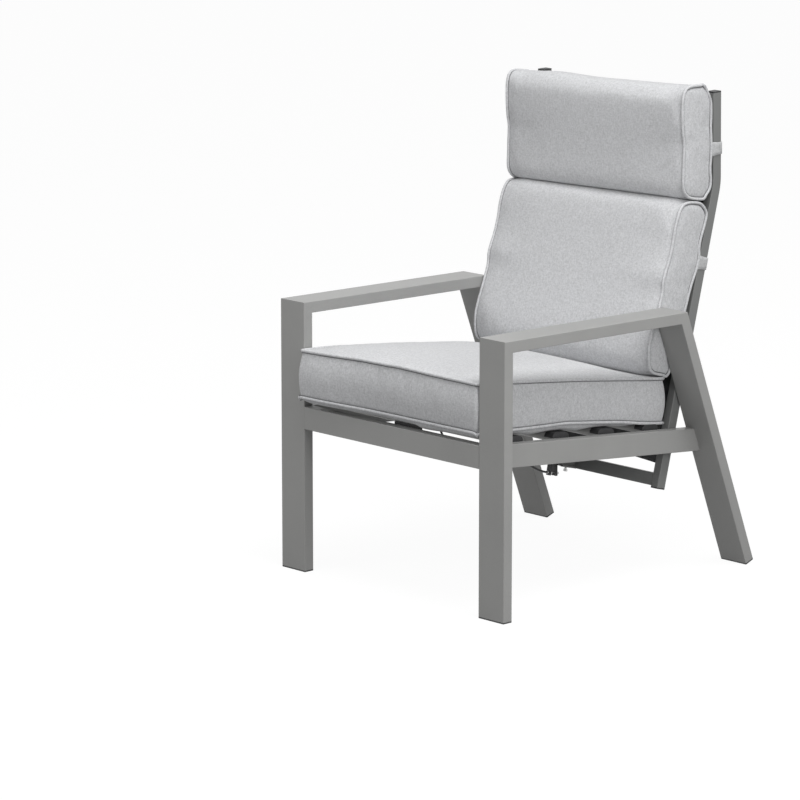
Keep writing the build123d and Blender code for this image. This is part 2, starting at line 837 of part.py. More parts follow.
cylinder_bore = cylinder_radius - cylinder_wall
gland_start = cylinder_end - gland_length
gland_bore = spring_rod_radius + running_gap
ring("cylinder_gland", spring_plane(gland_start), cylinder_bore, gland_length, gland_bore)
rod_end = spring_span - head_body + rod_grip
with BuildPart() as spring_rod:
    with BuildSketch(spring_plane(piston_start)):
        Circle(spring_rod_radius)
    extrude(amount=rod_end - piston_start)
    with BuildSketch(spring_plane(rod_end - release_pin_bore)):
        Circle(release_pin_radius + running_gap)
    extrude(amount=release_pin_bore + overrun, mode=Mode.SUBTRACT)
save("spring_rod", spring_rod)
ring(
    "spring_piston",
    spring_plane(piston_start),
    cylinder_bore - piston_gap,
    piston_length,
    spring_rod_radius,
)


def pivot_bolt(name, spot, half, gap):
    """A bolt across a bracket with its head on the left and its nut on the right."""
    reach = half + gap
    with BuildPart() as piece:
        with BuildSketch(Plane(origin=spot - across * (reach + pivot_head_height), z_dir=across)):
            Circle(pivot_bolt_radius)
        extrude(amount=2 * (reach + pivot_head_height))
        with BuildSketch(Plane(origin=spot + across * reach, z_dir=across)):
            Circle(pivot_head_radius)
        extrude(amount=pivot_head_height)
        with BuildSketch(Plane(origin=spot - across * reach, z_dir=-across)):
            RegularPolygon(pivot_head_radius, 6)
        extrude(amount=pivot_head_height)
    save(name, piece)


pivot_bolt("front_spring_bolt", front_pivot, ear_inner + bracket_plate, 0)
pivot_bolt("rear_spring_bolt", rear_pivot, ear_end, side_gap)

# Release head on the rod: it carries the lever and the cable's end
lever_pivot = rear_pivot - spring_dir * lever_set + spring_side.y_dir * lever_rise
lever_side = Plane(origin=lever_pivot, x_dir=rear, z_dir=across)
lever_bottom = lever_pivot.Z - lever_drop
with BuildPart() as release_head:
    with BuildSketch(release_side):
        Circle(head_body_half)
        with Locations((-head_body / 2, 0)):
            Rectangle(head_body, 2 * head_body_half)
        with Locations((-lever_set, lever_rise)):
            Circle(lever_boss)
        with Locations((-lever_set, lever_rise / 2)):
            Rectangle(2 * lever_boss, lever_rise)
    extrude(amount=head_half, both=True)
    with BuildSketch(release_side):
        with Locations((-cable_arm_place, -cable_arm_drop / 2)):
            Rectangle(cable_arm_thickness, cable_arm_drop)
    extrude(amount=cable_arm_half, both=True)
    room_front = lever_thickness / 2 + lever_room_front
    room_rear = lever_thickness / 2 + lever_room_rear
    room_top = lever_knuckle + lever_room_rear
    with BuildSketch(lever_side):
        with BuildLine():
            Polyline(
                (-room_front, -lever_drop),
                (-room_front, room_top),
                (lever_knuckle + lever_room_rear, room_top),
                (lever_knuckle + lever_room_rear, -room_top),
                (room_rear, -room_top),
                (room_rear, -lever_drop),
                close=True,
            )
        make_face()
        with Locations((0, 0)):
            Circle(room_top)
    extrude(amount=lever_half + bracket_gap, both=True, mode=Mode.SUBTRACT)
    with BuildSketch(lever_side):
        Circle(lever_pin_radius)
    extrude(amount=head_half + overrun, both=True, mode=Mode.SUBTRACT)
    with BuildSketch(release_side):
        Circle(pivot_bolt_radius)
    extrude(amount=head_half + overrun, both=True, mode=Mode.SUBTRACT)
    with BuildSketch(spring_plane(spring_span - head_body - overrun)):
        Circle(spring_rod_radius)
    extrude(amount=rod_end + overrun - spring_span + head_body, mode=Mode.SUBTRACT)
    with BuildSketch(spring_plane(spring_span - head_body, cable_line_drop)):
        Circle(ferrule_radius)
    extrude(amount=head_body, mode=Mode.SUBTRACT)
save("release_head", release_head)

# Release pin in the rod's end, and the lever that presses it
lever_face = lever_pivot.Y - lever_thickness / 2
pin_start = rod_end - release_pin_bore + release_pin_room
pin_end = (lever_face - front_pivot.Y) / spring_dir.Y - release_pin_gap
ring("release_pin", spring_plane(pin_start), release_pin_radius, pin_end - pin_start)

wire_lift = spring_side.y_dir.Y * cable_line_drop
nipple_face = (lever_face + lever_thickness - front_pivot.Y + wire_lift) / spring_dir.Y
nipple_place = nipple_face + nipple_radius + side_gap
nipple = spring_plane(nipple_place, cable_line_drop).origin
with BuildPart() as release_lever:
    with BuildSketch(lever_side):
        Circle(lever_knuckle)
        with Locations((0, -lever_drop / 2)):
            Rectangle(lever_thickness, lever_drop)
        Circle(lever_pin_radius + running_gap, mode=Mode.SUBTRACT)
    extrude(amount=lever_half, both=True)
    slot_height = nipple.Z + wire_slot - lever_bottom
    with BuildSketch(Plane(origin=(0, lever_pivot.Y, lever_bottom), x_dir=across, z_dir=rear)):
        with Locations((0, -slot_height / 2 + overrun)):
            Rectangle(wire_slot, slot_height + 2 * overrun)
    extrude(amount=lever_thickness, both=True, mode=Mode.SUBTRACT)
save("release_lever", release_lever)
rods("lever_pin", [lever_pivot - across * head_half], across, lever_pin_radius, 2 * head_half)


def ferrule(name, plane, collar_start):
    """A cable end fitting with a collar, along its plane's normal."""
    with BuildPart() as piece:
        with BuildSketch(plane):
            Circle(ferrule_radius)
        extrude(amount=ferrule_length)
        with BuildSketch(plane.offset(collar_start)):
            Circle(ferrule_collar)
        extrude(amount=ferrule_collar_length)
        with BuildSketch(plane):
            Circle(ferrule_bore)
        extrude(amount=ferrule_length, mode=Mode.SUBTRACT)
    save(name, piece)


ferrule_lead = (ferrule_length - cable_arm_thickness) / 2
ferrule_start = spring_span - cable_arm_place - cable_arm_thickness / 2 - ferrule_lead
rear_end_plane = spring_plane(ferrule_start, cable_line_drop)
ferrule("rear_ferrule", rear_end_plane, ferrule_lead + cable_arm_thickness)


def wire(name, plane, length, barrel_half):
    """The cable's inner wire from inside its ferrule to the barrel at its end."""
    with BuildPart() as piece:
        with BuildSketch(plane):
            Circle(wire_radius)
        extrude(amount=length)
        barrel = plane.origin + plane.z_dir * length
        with BuildSketch(Plane(origin=barrel, z_dir=across)):
            Circle(nipple_radius)
        extrude(amount=barrel_half, both=True)
    save(name, piece)


wire_plane = spring_plane(ferrule_start + ferrule_lead, cable_line_drop)
wire("rear_wire", wire_plane, nipple_place - ferrule_start - ferrule_lead, nipple_half)

# Release handle: a bracket on the right rail's outer face, the lever, its grip and its bolt
plate_x = -(inner_half + rail_width)
handle_x = plate_x - handle_plate - handle_stand - handle_thickness / 2
handle_pivot_height = seat_height + handle_pivot_rise
handle_plate_low = handle_pivot_height - handle_plate_drop
handle_plate_high = handle_pivot_height + handle_plate_rise
handle_spot = at(handle_pivot_run, handle_pivot_height, handle_x)
handle_face = Plane(origin=handle_spot, x_dir=rear, z_dir=across)
attach_height = handle_pivot_height - handle_attach_drop
with BuildPart() as handle_bracket:
    with BuildSketch(chair_side.offset(plate_x)):
        plate_height = (handle_plate_low + handle_plate_high) / 2
        with Locations((handle_lug_run - handle_plate_length / 4, plate_height)):
            Rectangle(handle_plate_length, handle_plate_high - handle_plate_low)
        with Locations((handle_pivot_run, handle_pivot_height)):
            Circle(handle_pin_radius, mode=Mode.SUBTRACT)
    extrude(amount=-handle_plate)
    with BuildSketch(chair_side.offset(plate_x - handle_plate)):
        with Locations((handle_lug_run, attach_height)):
            Rectangle(handle_lug_thickness, 4 * ferrule_radius)
    extrude(amount=-2 * (plate_x - handle_plate - handle_x))
    lug_hole = at(handle_lug_run - handle_lug_thickness, attach_height, handle_x)
    with BuildSketch(Plane(origin=lug_hole, x_dir=across, z_dir=rear)):
        Circle(ferrule_radius)
    extrude(amount=2 * handle_lug_thickness, mode=Mode.SUBTRACT)
save("handle_bracket", handle_bracket)

with BuildPart() as release_handle:
    with BuildSketch(handle_face):
        with Locations(Location((0, 0, 0), (0, 0, -handle_tilt))):
            with Locations((-handle_length / 2, 0)):
                Rectangle(handle_length, handle_height)
        Circle(handle_hub)
        with Locations((0, -handle_attach_drop / 2)):
            Rectangle(handle_height, handle_attach_drop)
        with Locations((0, -handle_attach_drop)):
            Circle(handle_height / 2)
        with Locations((0, -handle_attach_drop)):
            Circle(nipple_radius + running_gap, mode=Mode.SUBTRACT)
    extrude(amount=handle_thickness / 2, both=True)
    with BuildSketch(handle_face.offset(handle_thickness / 2)):
        Circle(handle_hub)
    extrude(amount=handle_stand - side_gap)
    with BuildSketch(handle_face):
        Circle(handle_pin_radius + running_gap)
    extrude(amount=handle_thickness + handle_stand, both=True, mode=Mode.SUBTRACT)
    with BuildSketch(Plane(origin=at(handle_pivot_run, attach_height, handle_x), x_dir=across, z_dir=rear)):
        Rectangle(wire_slot, wire_slot)
    extrude(amount=handle_height, mode=Mode.SUBTRACT)
save("release_handle", release_handle)

grip_dir = Vector(0, -cos(radians(handle_tilt)), sin(radians(handle_tilt)))
grip_spot = handle_spot + grip_dir * (handle_length - grip_length + grip_wall)
with BuildPart() as handle_grip:
    with BuildSketch(Plane(origin=grip_spot, x_dir=across, z_dir=grip_dir)):
        RectangleRounded(handle_thickness + 2 * grip_wall, handle_height + 2 * grip_wall, grip_wall)
    extrude(amount=grip_length)
    with BuildSketch(Plane(origin=grip_spot, x_dir=across, z_dir=grip_dir)):
        Rectangle(handle_thickness, handle_height)
    extrude(amount=grip_length - grip_wall, mode=Mode.SUBTRACT)
save("handle_grip", handle_grip)

pin_inner = plate_x + pivot_head_height
pin_outer = handle_x - handle_thickness / 2 - side_gap
with BuildPart() as handle_pin:
    with BuildSketch(Plane(origin=at(handle_pivot_run, handle_pivot_height, pin_inner), z_dir=-across)):
        Circle(handle_pin_radius)
    extrude(amount=pin_inner - pin_outer)
    with BuildSketch(Plane(origin=at(handle_pivot_run, handle_pivot_height, plate_x), z_dir=across)):
        RegularPolygon(pivot_head_radius, 6)
    extrude(amount=pivot_head_height)
    with BuildSketch(Plane(origin=at(handle_pivot_run, handle_pivot_height, pin_outer), z_dir=-across)):
        Circle(pivot_head_radius)
    extrude(amount=bracket_plate)
save("handle_pin", handle_pin)

lug_face = handle_lug_run + handle_lug_thickness / 2
front_ferrule_end = at(lug_face + ferrule_lead, attach_height, handle_x)
front_end_plane = Plane(origin=front_ferrule_end, x_dir=across, z_dir=-rear)
ferrule("front_ferrule", front_end_plane, ferrule_lead - ferrule_collar_length)
wire_start = lug_face + ferrule_lead / 2
front_wire_plane = Plane(origin=at(wire_start, attach_height, handle_x), x_dir=across, z_dir=-rear)
wire("front_wire", front_wire_plane, wire_start - handle_pivot_run, handle_thickness / 2)


# The cable's sheath: from the handle over the right rail, under the slats to the gas spring
def spring_point(place, drop):
    """A point beside the spring: its place from the front pivot and its drop below the axis."""
    return front_pivot + spring_dir * place - spring_side.y_dir * drop


def under_seat(run, drop, share):
    """A point on the right side: its run, its drop below the seat's height, its share of the half width."""
    return at(run, seat_height - drop, -share * inner_half)


def sheath(name, route):
    """A round cable along straight runs with tangent arcs as large as the runs allow."""
    radii = []
    for before, corner, after in zip(route, route[1:], route[2:]):
        turn = radians((corner - before).get_angle(after - corner))
        shorter = min((corner - before).length, (after - corner).length)
        radii.append(cable_arc_share * shorter / tan(turn / 2))
    with BuildPart() as piece:
        with BuildLine() as path:
            FilletPolyline(*route, radius=radii)
        with BuildSketch(Plane(origin=route[0], z_dir=route[1] - route[0])):
            Circle(cable_radius)
        sweep()
    measured = piece.part.volume / (pi * cable_radius**2 * path.wire().length)
    print(name, "length", round(path.wire().length), "volume ratio", round(measured, 4))
    print(name, "arc radii", [round(radius, 1) for radius in radii])
    save(name, piece)


clip_point = spring_point(clip_spot, clip_drop)
handle_route = [
    front_ferrule_end,
    at(handle_lug_run + cable_lead, attach_height, handle_x),
    under_seat(cable_cross_run, cable_cross_drop, cable_cross_share),
    under_seat(cable_dip_run, cable_dip_drop, cable_dip_share),
    under_seat(cable_under_run, cable_under_drop, cable_under_share),
    under_seat(cable_sweep_run, cable_sweep_drop, cable_sweep_share),
    under_seat(cable_turn_run, cable_turn_drop, cable_turn_share),
    spring_point(cable_join_place, clip_drop),
    clip_point,
]
tail_route = [
    clip_point,
    spring_point(tail_level_place, clip_drop),
    spring_point(spring_span - tail_end_lead, cable_line_drop),
    rear_end_plane.origin,
]
sheath("release_cable", handle_route)
sheath("cable_tail", tail_route)

with BuildPart() as cable_clip:
    with BuildSketch(spring_plane(clip_spot - clip_length / 2)):
        Circle(cylinder_radius + running_gap + clip_wall)
        with Locations((0, clip_drop)):
            Circle(cable_radius + running_gap + clip_wall)
        Circle(cylinder_radius + running_gap, mode=Mode.SUBTRACT)
        with Locations((0, clip_drop)):
            Circle(cable_radius + running_gap, mode=Mode.SUBTRACT)
    extrude(amount=clip_length)
save("cable_clip", cable_clip)
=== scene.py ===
import json
import math

import bpy
import numpy as np
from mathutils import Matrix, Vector


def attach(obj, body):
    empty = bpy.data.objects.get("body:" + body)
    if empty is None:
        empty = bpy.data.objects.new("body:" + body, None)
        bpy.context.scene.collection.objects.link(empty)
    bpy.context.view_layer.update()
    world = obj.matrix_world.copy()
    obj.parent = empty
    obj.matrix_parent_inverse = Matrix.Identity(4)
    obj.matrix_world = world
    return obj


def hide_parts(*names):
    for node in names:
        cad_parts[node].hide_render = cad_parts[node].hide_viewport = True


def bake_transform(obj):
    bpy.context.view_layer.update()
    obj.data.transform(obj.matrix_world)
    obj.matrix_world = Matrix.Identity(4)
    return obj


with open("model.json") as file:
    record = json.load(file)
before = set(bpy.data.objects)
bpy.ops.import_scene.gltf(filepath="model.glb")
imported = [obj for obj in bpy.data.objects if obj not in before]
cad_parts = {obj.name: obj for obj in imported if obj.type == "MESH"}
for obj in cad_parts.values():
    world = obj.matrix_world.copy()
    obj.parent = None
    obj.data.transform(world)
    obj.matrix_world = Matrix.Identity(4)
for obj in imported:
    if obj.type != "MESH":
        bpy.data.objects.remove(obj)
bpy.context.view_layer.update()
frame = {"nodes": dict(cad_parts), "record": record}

# Places and sizes from part.py, in metres: X across, -Y to the front, Z up
FRONT_Y = -0.3797
HINGE = Vector((0, 0.2103, 0.29547))
BACK_LEAN = math.radians(14.3)
HEAD_LEAN = math.radians(-1)
BACK_UP = Vector((0, math.sin(BACK_LEAN), math.cos(BACK_LEAN)))
BACK_FRONT = Vector((0, -math.cos(BACK_LEAN), math.sin(BACK_LEAN)))
HEAD_UP = Vector((0, math.sin(HEAD_LEAN), math.cos(HEAD_LEAN)))
HEAD_FRONT = Vector((0, -math.cos(HEAD_LEAN), math.sin(HEAD_LEAN)))
BEND_HEIGHT = 0.564
UPRIGHT_ADVANCE = 0.004
BEND_RADIUS = 0.12
BEND = HINGE + BACK_UP * BEND_HEIGHT + BACK_FRONT * UPRIGHT_ADVANCE
FRONT_PIVOT = Vector((0, FRONT_Y + 0.078, 0.3165))
REAR_PIVOT = Vector((0, 0.1443, 0.22602))
SPRING_DIR = (REAR_PIVOT - FRONT_PIVOT).normalized()
SPRING_DOWN = Vector((0, SPRING_DIR.z, -SPRING_DIR.y))
SLAT_RUNS = (0.105, 0.243, 0.381, 0.519)
SLAT_HALF_WIDTH = 0.024
SLAT_HALF_HEIGHT = 0.01
SLAT_RISE = 0.011
SEAT_SLOPE = 5
CABLE_RADIUS = 0.0025
CABLE_DROP = 0.0173
RELEASE_DROP = 0.0395
PIPING_RADIUS = 0.0033
# Radius of the dark lines beside the pipings, which are painted shade of the seam grooves
SHADE_LINE_RADIUS = 0.0007
CLOTH_FRAMES = 20


# Materials
def material(name):
    """A new node material: the material, its tree and its Principled shader."""
    made = bpy.data.materials.new(name)
    made.use_nodes = True
    tree = made.node_tree
    return made, tree, tree.nodes["Principled BSDF"]


def node(tree, kind, **values):
    """A node with its inputs and properties set by name; an input may be a socket or a value."""
    made = tree.nodes.new(kind)
    for name, value in values.items():
        label = name.replace("_", " ")
        if name in made.bl_rna.properties:
            setattr(made, name, value)
        elif isinstance(value, bpy.types.NodeSocket):
            tree.links.new(value, made.inputs[label])
        else:
            made.inputs[label].default_value = value
    return made


def calculate(tree, operation, *values):
    """A Math node's result; each value is a socket or a number."""
    made = tree.nodes.new("ShaderNodeMath")
    made.operation = operation
    for place, value in enumerate(values):
        if isinstance(value, bpy.types.NodeSocket):
            tree.links.new(value, made.inputs[place])
        else:
            made.inputs[place].default_value = value
    return made.outputs[0]


def mix(tree, first, first_share, second, second_share):
    """The sum of two sockets, each times its own number."""
    part = calculate(tree, "MULTIPLY", second, second_share)
    return calculate(tree, "MULTIPLY_ADD", first, first_share, part)


def noise(tree, scale, stretch=(1, 1, 1), detail=3, rough=0.5):
    """Noise on the object's own coordinates, stretched along its axes."""
    place = node(tree, "ShaderNodeTexCoord").outputs["Object"]
    mapped = node(tree, "ShaderNodeMapping", Vector=place, Scale=stretch)
    made = node(tree, "ShaderNodeTexNoise", Scale=scale, Detail=detail, Roughness=rough)
    tree.links.new(mapped.outputs[0], made.inputs["Vector"])
    return made.outputs[0]


def ramp(tree, value, low, high, dark, light):
    """Colours from dark to light as a value goes from low to high."""
    made = node(tree, "ShaderNodeValToRGB", Fac=value)
    ends = made.color_ramp.elements
    ends[0].position, ends[0].color = low, (*dark, 1)
    ends[1].position, ends[1].color = high, (*light, 1)
    return made.outputs[0]


def paint(tree, shader, value, low, high, dark, light):
    """Colour a shader from dark to light as a value goes from low to high."""
    tree.links.new(ramp(tree, value, low, high, dark, light), shader.inputs["Base Color"])


def roughen(tree, shader, value, low, high, start, end):
    """Take a shader's roughness from start to end as a value goes from low to high."""
    made = tree.nodes.new("ShaderNodeMapRange")
    tree.links.new(value, made.inputs[0])
    for place, number in zip((1, 2, 3, 4), (low, high, start, end)):
        made.inputs[place].default_value = number
    tree.links.new(made.outputs[0], shader.inputs["Roughness"])


def bump(tree, shader, height, strength, distance):
    made = node(tree, "ShaderNodeBump", Strength=strength, Distance=distance, Height=height)
    tree.links.new(made.outputs[0], shader.inputs["Normal"])


def threads(tree, pitch):
    """A plain weave's height on the object's own axes, seen square on every face."""
    coords = node(tree, "ShaderNodeTexCoord")
    wander = node(tree, "ShaderNodeTexNoise", Scale=60, Detail=1)
    tree.links.new(coords.outputs["Object"], wander.inputs["Vector"])
    drift = calculate(tree, "MULTIPLY", wander.outputs[0], 2.2)
    place = node(tree, "ShaderNodeSeparateXYZ", Vector=coords.outputs["Object"])
    facing = node(tree, "ShaderNodeSeparateXYZ", Vector=coords.outputs["Normal"])
    waves = []
    for axis in range(3):
        turns = calculate(tree, "MULTIPLY_ADD", place.outputs[axis], math.pi / pitch, drift)
        waves.append(calculate(tree, "SINE", turns))
    height = None
    for axis in range(3):
        first, second = waves[(axis + 1) % 3], waves[(axis + 2) % 3]
        cross = calculate(tree, "MULTIPLY", first, second)
        square = calculate(tree, "POWER", calculate(tree, "ABSOLUTE", facing.outputs[axis]), 3)
        part = calculate(tree, "MULTIPLY", cross, square)
        height = part if height is None else calculate(tree, "ADD", height, part)
    return height


def coat(name, colour, rough, grain):
    """Powder coat: a fine pebbled skin, with slight patches in its colour and gloss."""
    made, tree, shader = material(name)
    patches = noise(tree, 9, detail=4)
    speckle = noise(tree, 1400, detail=1)
    mixed = mix(tree, speckle, 0.35, patches, 0.65)
    dark = [share * 0.93 for share in colour]
    light = [share * 1.06 for share in colour]
    paint(tree, shader, mixed, 0.3, 0.7, dark, light)
    roughen(tree, shader, patches, 0.3, 0.7, rough - 0.05, rough + 0.06)
    bump(tree, shader, noise(tree, 900, detail=2), grain, 0.0002)
    return made


def fabric(name, dark, light, pitch):
    """Heather cloth: a plain weave with slubs along both thread directions and fine mottling."""
    made, tree, shader = material(name)
    weave = threads(tree, pitch)
    upright_slubs = noise(tree, 480, (1, 0.3, 0.2), detail=3, rough=0.7)
    level_slubs = noise(tree, 480, (0.2, 1, 1), detail=3, rough=0.7)
    mottles = noise(tree, 230, detail=3, rough=0.7)
    slubs = mix(tree, upright_slubs, 0.55, level_slubs, 0.45)
    mixed = mix(tree, mottles, 0.45, slubs, 0.55)
    shade = calculate(tree, "MULTIPLY_ADD", weave, 0.05, mixed)
    paint(tree, shader, shade, 0.39, 0.61, dark, light)
    shader.inputs["Roughness"].default_value = 0.95
    shader.inputs["Sheen Weight"].default_value = 0.25
    shader.inputs["Sheen Roughness"].default_value = 0.5
    shader.inputs["Specular IOR Level"].default_value = 0.15
    relief = mix(tree, mixed, 1.8, weave, 0.35)
    bump(tree, shader, relief, 0.6, 0.0008)
    return made


def mesh_cloth(name, dark, light, pitch):
    """Coated mesh cloth for the sling: thick round yarns in a close weave."""
    made, tree, shader = material(name)
    weave = threads(tree, pitch)
    shade = calculate(tree, "MULTIPLY_ADD", weave, 0.3, noise(tree, 40, detail=3))
    paint(tree, shader, shade, 0.2, 0.8, dark, light)
    roughen(tree, shader, weave, -0.6, 0.6, 0.7, 0.5)
    bump(tree, shader, weave, 0.8, 0.0005)
    return made


def plastic(name, colour, rough, scale=300, strength=0.15):
    """Moulded plastic or rubber: a dull skin with fine grain."""
    made, tree, shader = material(name)
    light = [share * 1.5 for share in colour]
    paint(tree, shader, noise(tree, 30, detail=4), 0.3, 0.7, colour, light)
    roughen(tree, shader, noise(tree, 80), 0.3, 0.7, rough - 0.06, rough + 0.08)
    bump(tree, shader, noise(tree, scale, detail=2), strength, 0.0003)
    return made


def metal(name, dark, light, rough, stretch=(1, 1, 1), metallic=1.0):
    """Plated or polished metal with fine lines and slight tarnish."""
    made, tree, shader = material(name)
    tarnish = noise(tree, 35, detail=5, rough=0.6)
    lines = noise(tree, 700, stretch, detail=2)
    paint(tree, shader, tarnish, 0.3, 0.7, dark, light)
    roughen(tree, shader, lines, 0.3, 0.7, rough * 0.7, rough * 1.4)
    shader.inputs["Metallic"].default_value = metallic
    bump(tree, shader, lines, 0.1, 0.0001)
    return made


MATERIALS = {
    "frame_coat": coat("frame_coat", (0.32, 0.32, 0.3135), 0.46, 0.25),
    # The frame's powder coat made darker for the back frame: painted shade of the parts under the seat and
    # behind the cushions
    "back_coat": coat("back_coat", (0.185, 0.188, 0.185), 0.46, 0.25),
    "bracket_coat": coat("bracket_coat", (0.25, 0.25, 0.245), 0.5, 0.3),
    "black_plastic": plastic("black_plastic", (0.016, 0.016, 0.017), 0.5),
    "cushion_fabric": fabric("cushion_fabric", (0.5, 0.505, 0.515), (0.71, 0.715, 0.73), 0.0011),
    # Dark grey for the lines beside the pipings: painted shade of the seam grooves, not a thread colour
    "seam_shade_grey": plastic("seam_shade_grey", (0.13, 0.13, 0.135), 0.9),
    "band_fabric": fabric("band_fabric", (0.44, 0.445, 0.45), (0.62, 0.625, 0.63), 0.0008),
    "sling_mesh": mesh_cloth("sling_mesh", (0.018, 0.019, 0.02), (0.07, 0.073, 0.076), 0.0016),
    "zinc_steel": metal("zinc_steel", (0.5, 0.5, 0.49), (0.72, 0.72, 0.72), 0.3),
    "rod_chrome": metal("rod_chrome", (0.62, 0.62, 0.63), (0.8, 0.8, 0.81), 0.12, (1, 8, 8)),
    "black_steel": metal("black_steel", (0.012, 0.012, 0.013), (0.035, 0.035, 0.037), 0.38, metallic=0.0),
    "black_metal": metal("black_metal", (0.02, 0.02, 0.021), (0.05, 0.05, 0.052), 0.42, metallic=0.3),
    "cable_sheath": plastic("cable_sheath", (0.014, 0.014, 0.015), 0.42, 500, 0.1),
    "grip_rubber": plastic("grip_rubber", (0.02, 0.02, 0.021), 0.68, 260, 0.4),
}

for part in frame["record"]["subparts"]:
    carried = frame["nodes"][part["node"]]
    carried.data.materials.clear()
    carried.data.materials.append(MATERIALS[part["material_slot"]])


# Building pieces
def put(name, data):
    """A new object in the scene."""
    made = bpy.data.objects.new(name, data)
    bpy.context.scene.collection.objects.link(made)
    return made


def applied(thing):
    """An object's mesh, as its curve or its modifiers shape it."""
    bpy.context.view_layer.update()
    return bpy.data.meshes.new_from_object(thing.evaluated_get(bpy.context.evaluated_depsgraph_get()))


def piece(name, points, faces, slot, smooth=True):
    """A mesh object in the part's frame, with its material and its slot."""
    mesh = bpy.data.meshes.new(name)
    mesh.from_pydata([tuple(point) for point in points], [], faces)
    mesh.update()
    made = put(name, mesh)
    mesh.materials.append(MATERIALS[slot])
    mesh.polygons.foreach_set("use_smooth", [smooth] * len(mesh.polygons))
    return made


def solid_line(name, points, radius, slot, closed=False, order=0, look=None):
    """A round tube as a mesh, on a NURBS line if it has an order; a look is a material unlike its slot's."""
    curve = bpy.data.curves.new(name + "_line", "CURVE")
    curve.dimensions = "3D"
    curve.bevel_depth = radius
    curve.bevel_resolution = 3
    curve.use_fill_caps = not closed
    spline = curve.splines.new("NURBS" if order else "POLY")
    spline.points.add(len(points) - 1)
    for spot, point in zip(spline.points, points):
        spot.co = (*point, 1)
    spline.use_cyclic_u = closed
    if order:
        spline.use_endpoint_u = not closed
        spline.order_u = order
        spline.resolution_u = 12
    holder = put(name + "_line", curve)
    mesh = applied(holder)
    bpy.data.objects.remove(holder)
    mesh.name = name
    mesh.materials.clear()
    mesh.materials.append(MATERIALS[look or slot])
    mesh.polygons.foreach_set("use_smooth", [True] * len(mesh.polygons))
    made = put(name, mesh)
    return made


def rim_points(sides, counts):
    """Even steps along a smooth closed line; each side lists its points and ends where the next starts."""
    corners = []
    through = []
    for side in sides:
        corners.append(len(through))
        through += side[:-1]
    through = np.array(through, float)
    total = len(through)
    steps = 24
    dense = []
    for index in range(total):
        before, start, end, after = (through[(index + shift) % total] for shift in (-1, 0, 1, 2))
        for share in np.arange(steps) / steps:
            slope_in = (end - before) / 2
            slope_out = (after - start) / 2
            cube, square = share**3, share**2
            dense.append(
                (2 * cube - 3 * square + 1) * start + (cube - 2 * square + share) * slope_in
                + (3 * square - 2 * cube) * end + (cube - square) * slope_out
            )
    dense = np.array(dense)
    rim = []
    for number, count in enumerate(counts):
        first = corners[number] * steps
        last = corners[(number + 1) % len(corners)] * steps or total * steps
        run = np.vstack([dense[first:last], dense[last % len(dense)]])
        gone = np.concatenate([[0], np.cumsum(np.linalg.norm(np.diff(run, axis=0), axis=1))])
        wanted = np.arange(count) / count * gone[-1]
        rim += [(np.interp(x, gone, run[:, 0]), np.interp(x, gone, run[:, 1])) for x in wanted]
    return np.array(rim)


def patch_points(rim, wide, high):
    """Points inside a rim of wide and high steps, blended from its four sides."""
    foot = rim[: wide + 1]
    right = rim[wide: wide + high + 1]
    top = rim[wide + high: 2 * wide + high + 1][::-1]
    left = np.vstack([rim[2 * wide + high:], rim[:1]])[::-1]
    inside = np.zeros((wide + 1, high + 1, 2))
    for across in range(wide + 1):
        for along in range(high + 1):
            u, v = across / wide, along / high
            inside[across, along] = (
                (1 - v) * foot[across] + v * top[across] + (1 - u) * left[along] + u * right[along]
                - (1 - u) * (1 - v) * foot[0] - u * (1 - v) * foot[-1]
                - (1 - u) * v * top[0] - u * v * top[-1]
            )
    return inside


def pad_shape(rim, wide, high, levels):
    """A closed pad: a ring of the rim at each level, a panel at both ends. Gives points, faces and rings."""
    count = len(rim)
    spots = []
    faces = []
    for level in levels:
        spots += [(point[0], point[1], level) for point in rim]
    for ring in range(len(levels) - 1):
        for step in range(count):
            after = (step + 1) % count
            low, top = ring * count, (ring + 1) * count
            faces.append((low + step, low + after, top + after, top + step))
    inside = patch_points(rim, wide, high)
    for ring in (0, len(levels) - 1):
        grid = {}
        for step in range(wide):
            grid[step, 0] = ring * count + step
            grid[wide - step, high] = ring * count + wide + high + step
        for step in range(high):
            grid[wide, step] = ring * count + wide + step
            grid[0, high - step] = ring * count + 2 * wide + high + step
        for across in range(1, wide):
            for along in range(1, high):
                grid[across, along] = len(spots)
                spots.append((*inside[across, along], levels[ring]))
        for across in range(wide):
            for along in range(high):
                near = [grid[across, along], grid[across + 1, along]]
                face = near + [grid[across + 1, along + 1], grid[across, along + 1]]
                faces.append(face[::-1] if ring == 0 else face)
    rings = [list(range(ring * count, (ring + 1) * count)) for ring in range(len(levels))]
    return np.array(spots), faces, rings


def mesh_points(mesh):
    points = np.empty(len(mesh.vertices) * 3)
    mesh.vertices.foreach_get("co", points)
    return points.reshape(-1, 3)


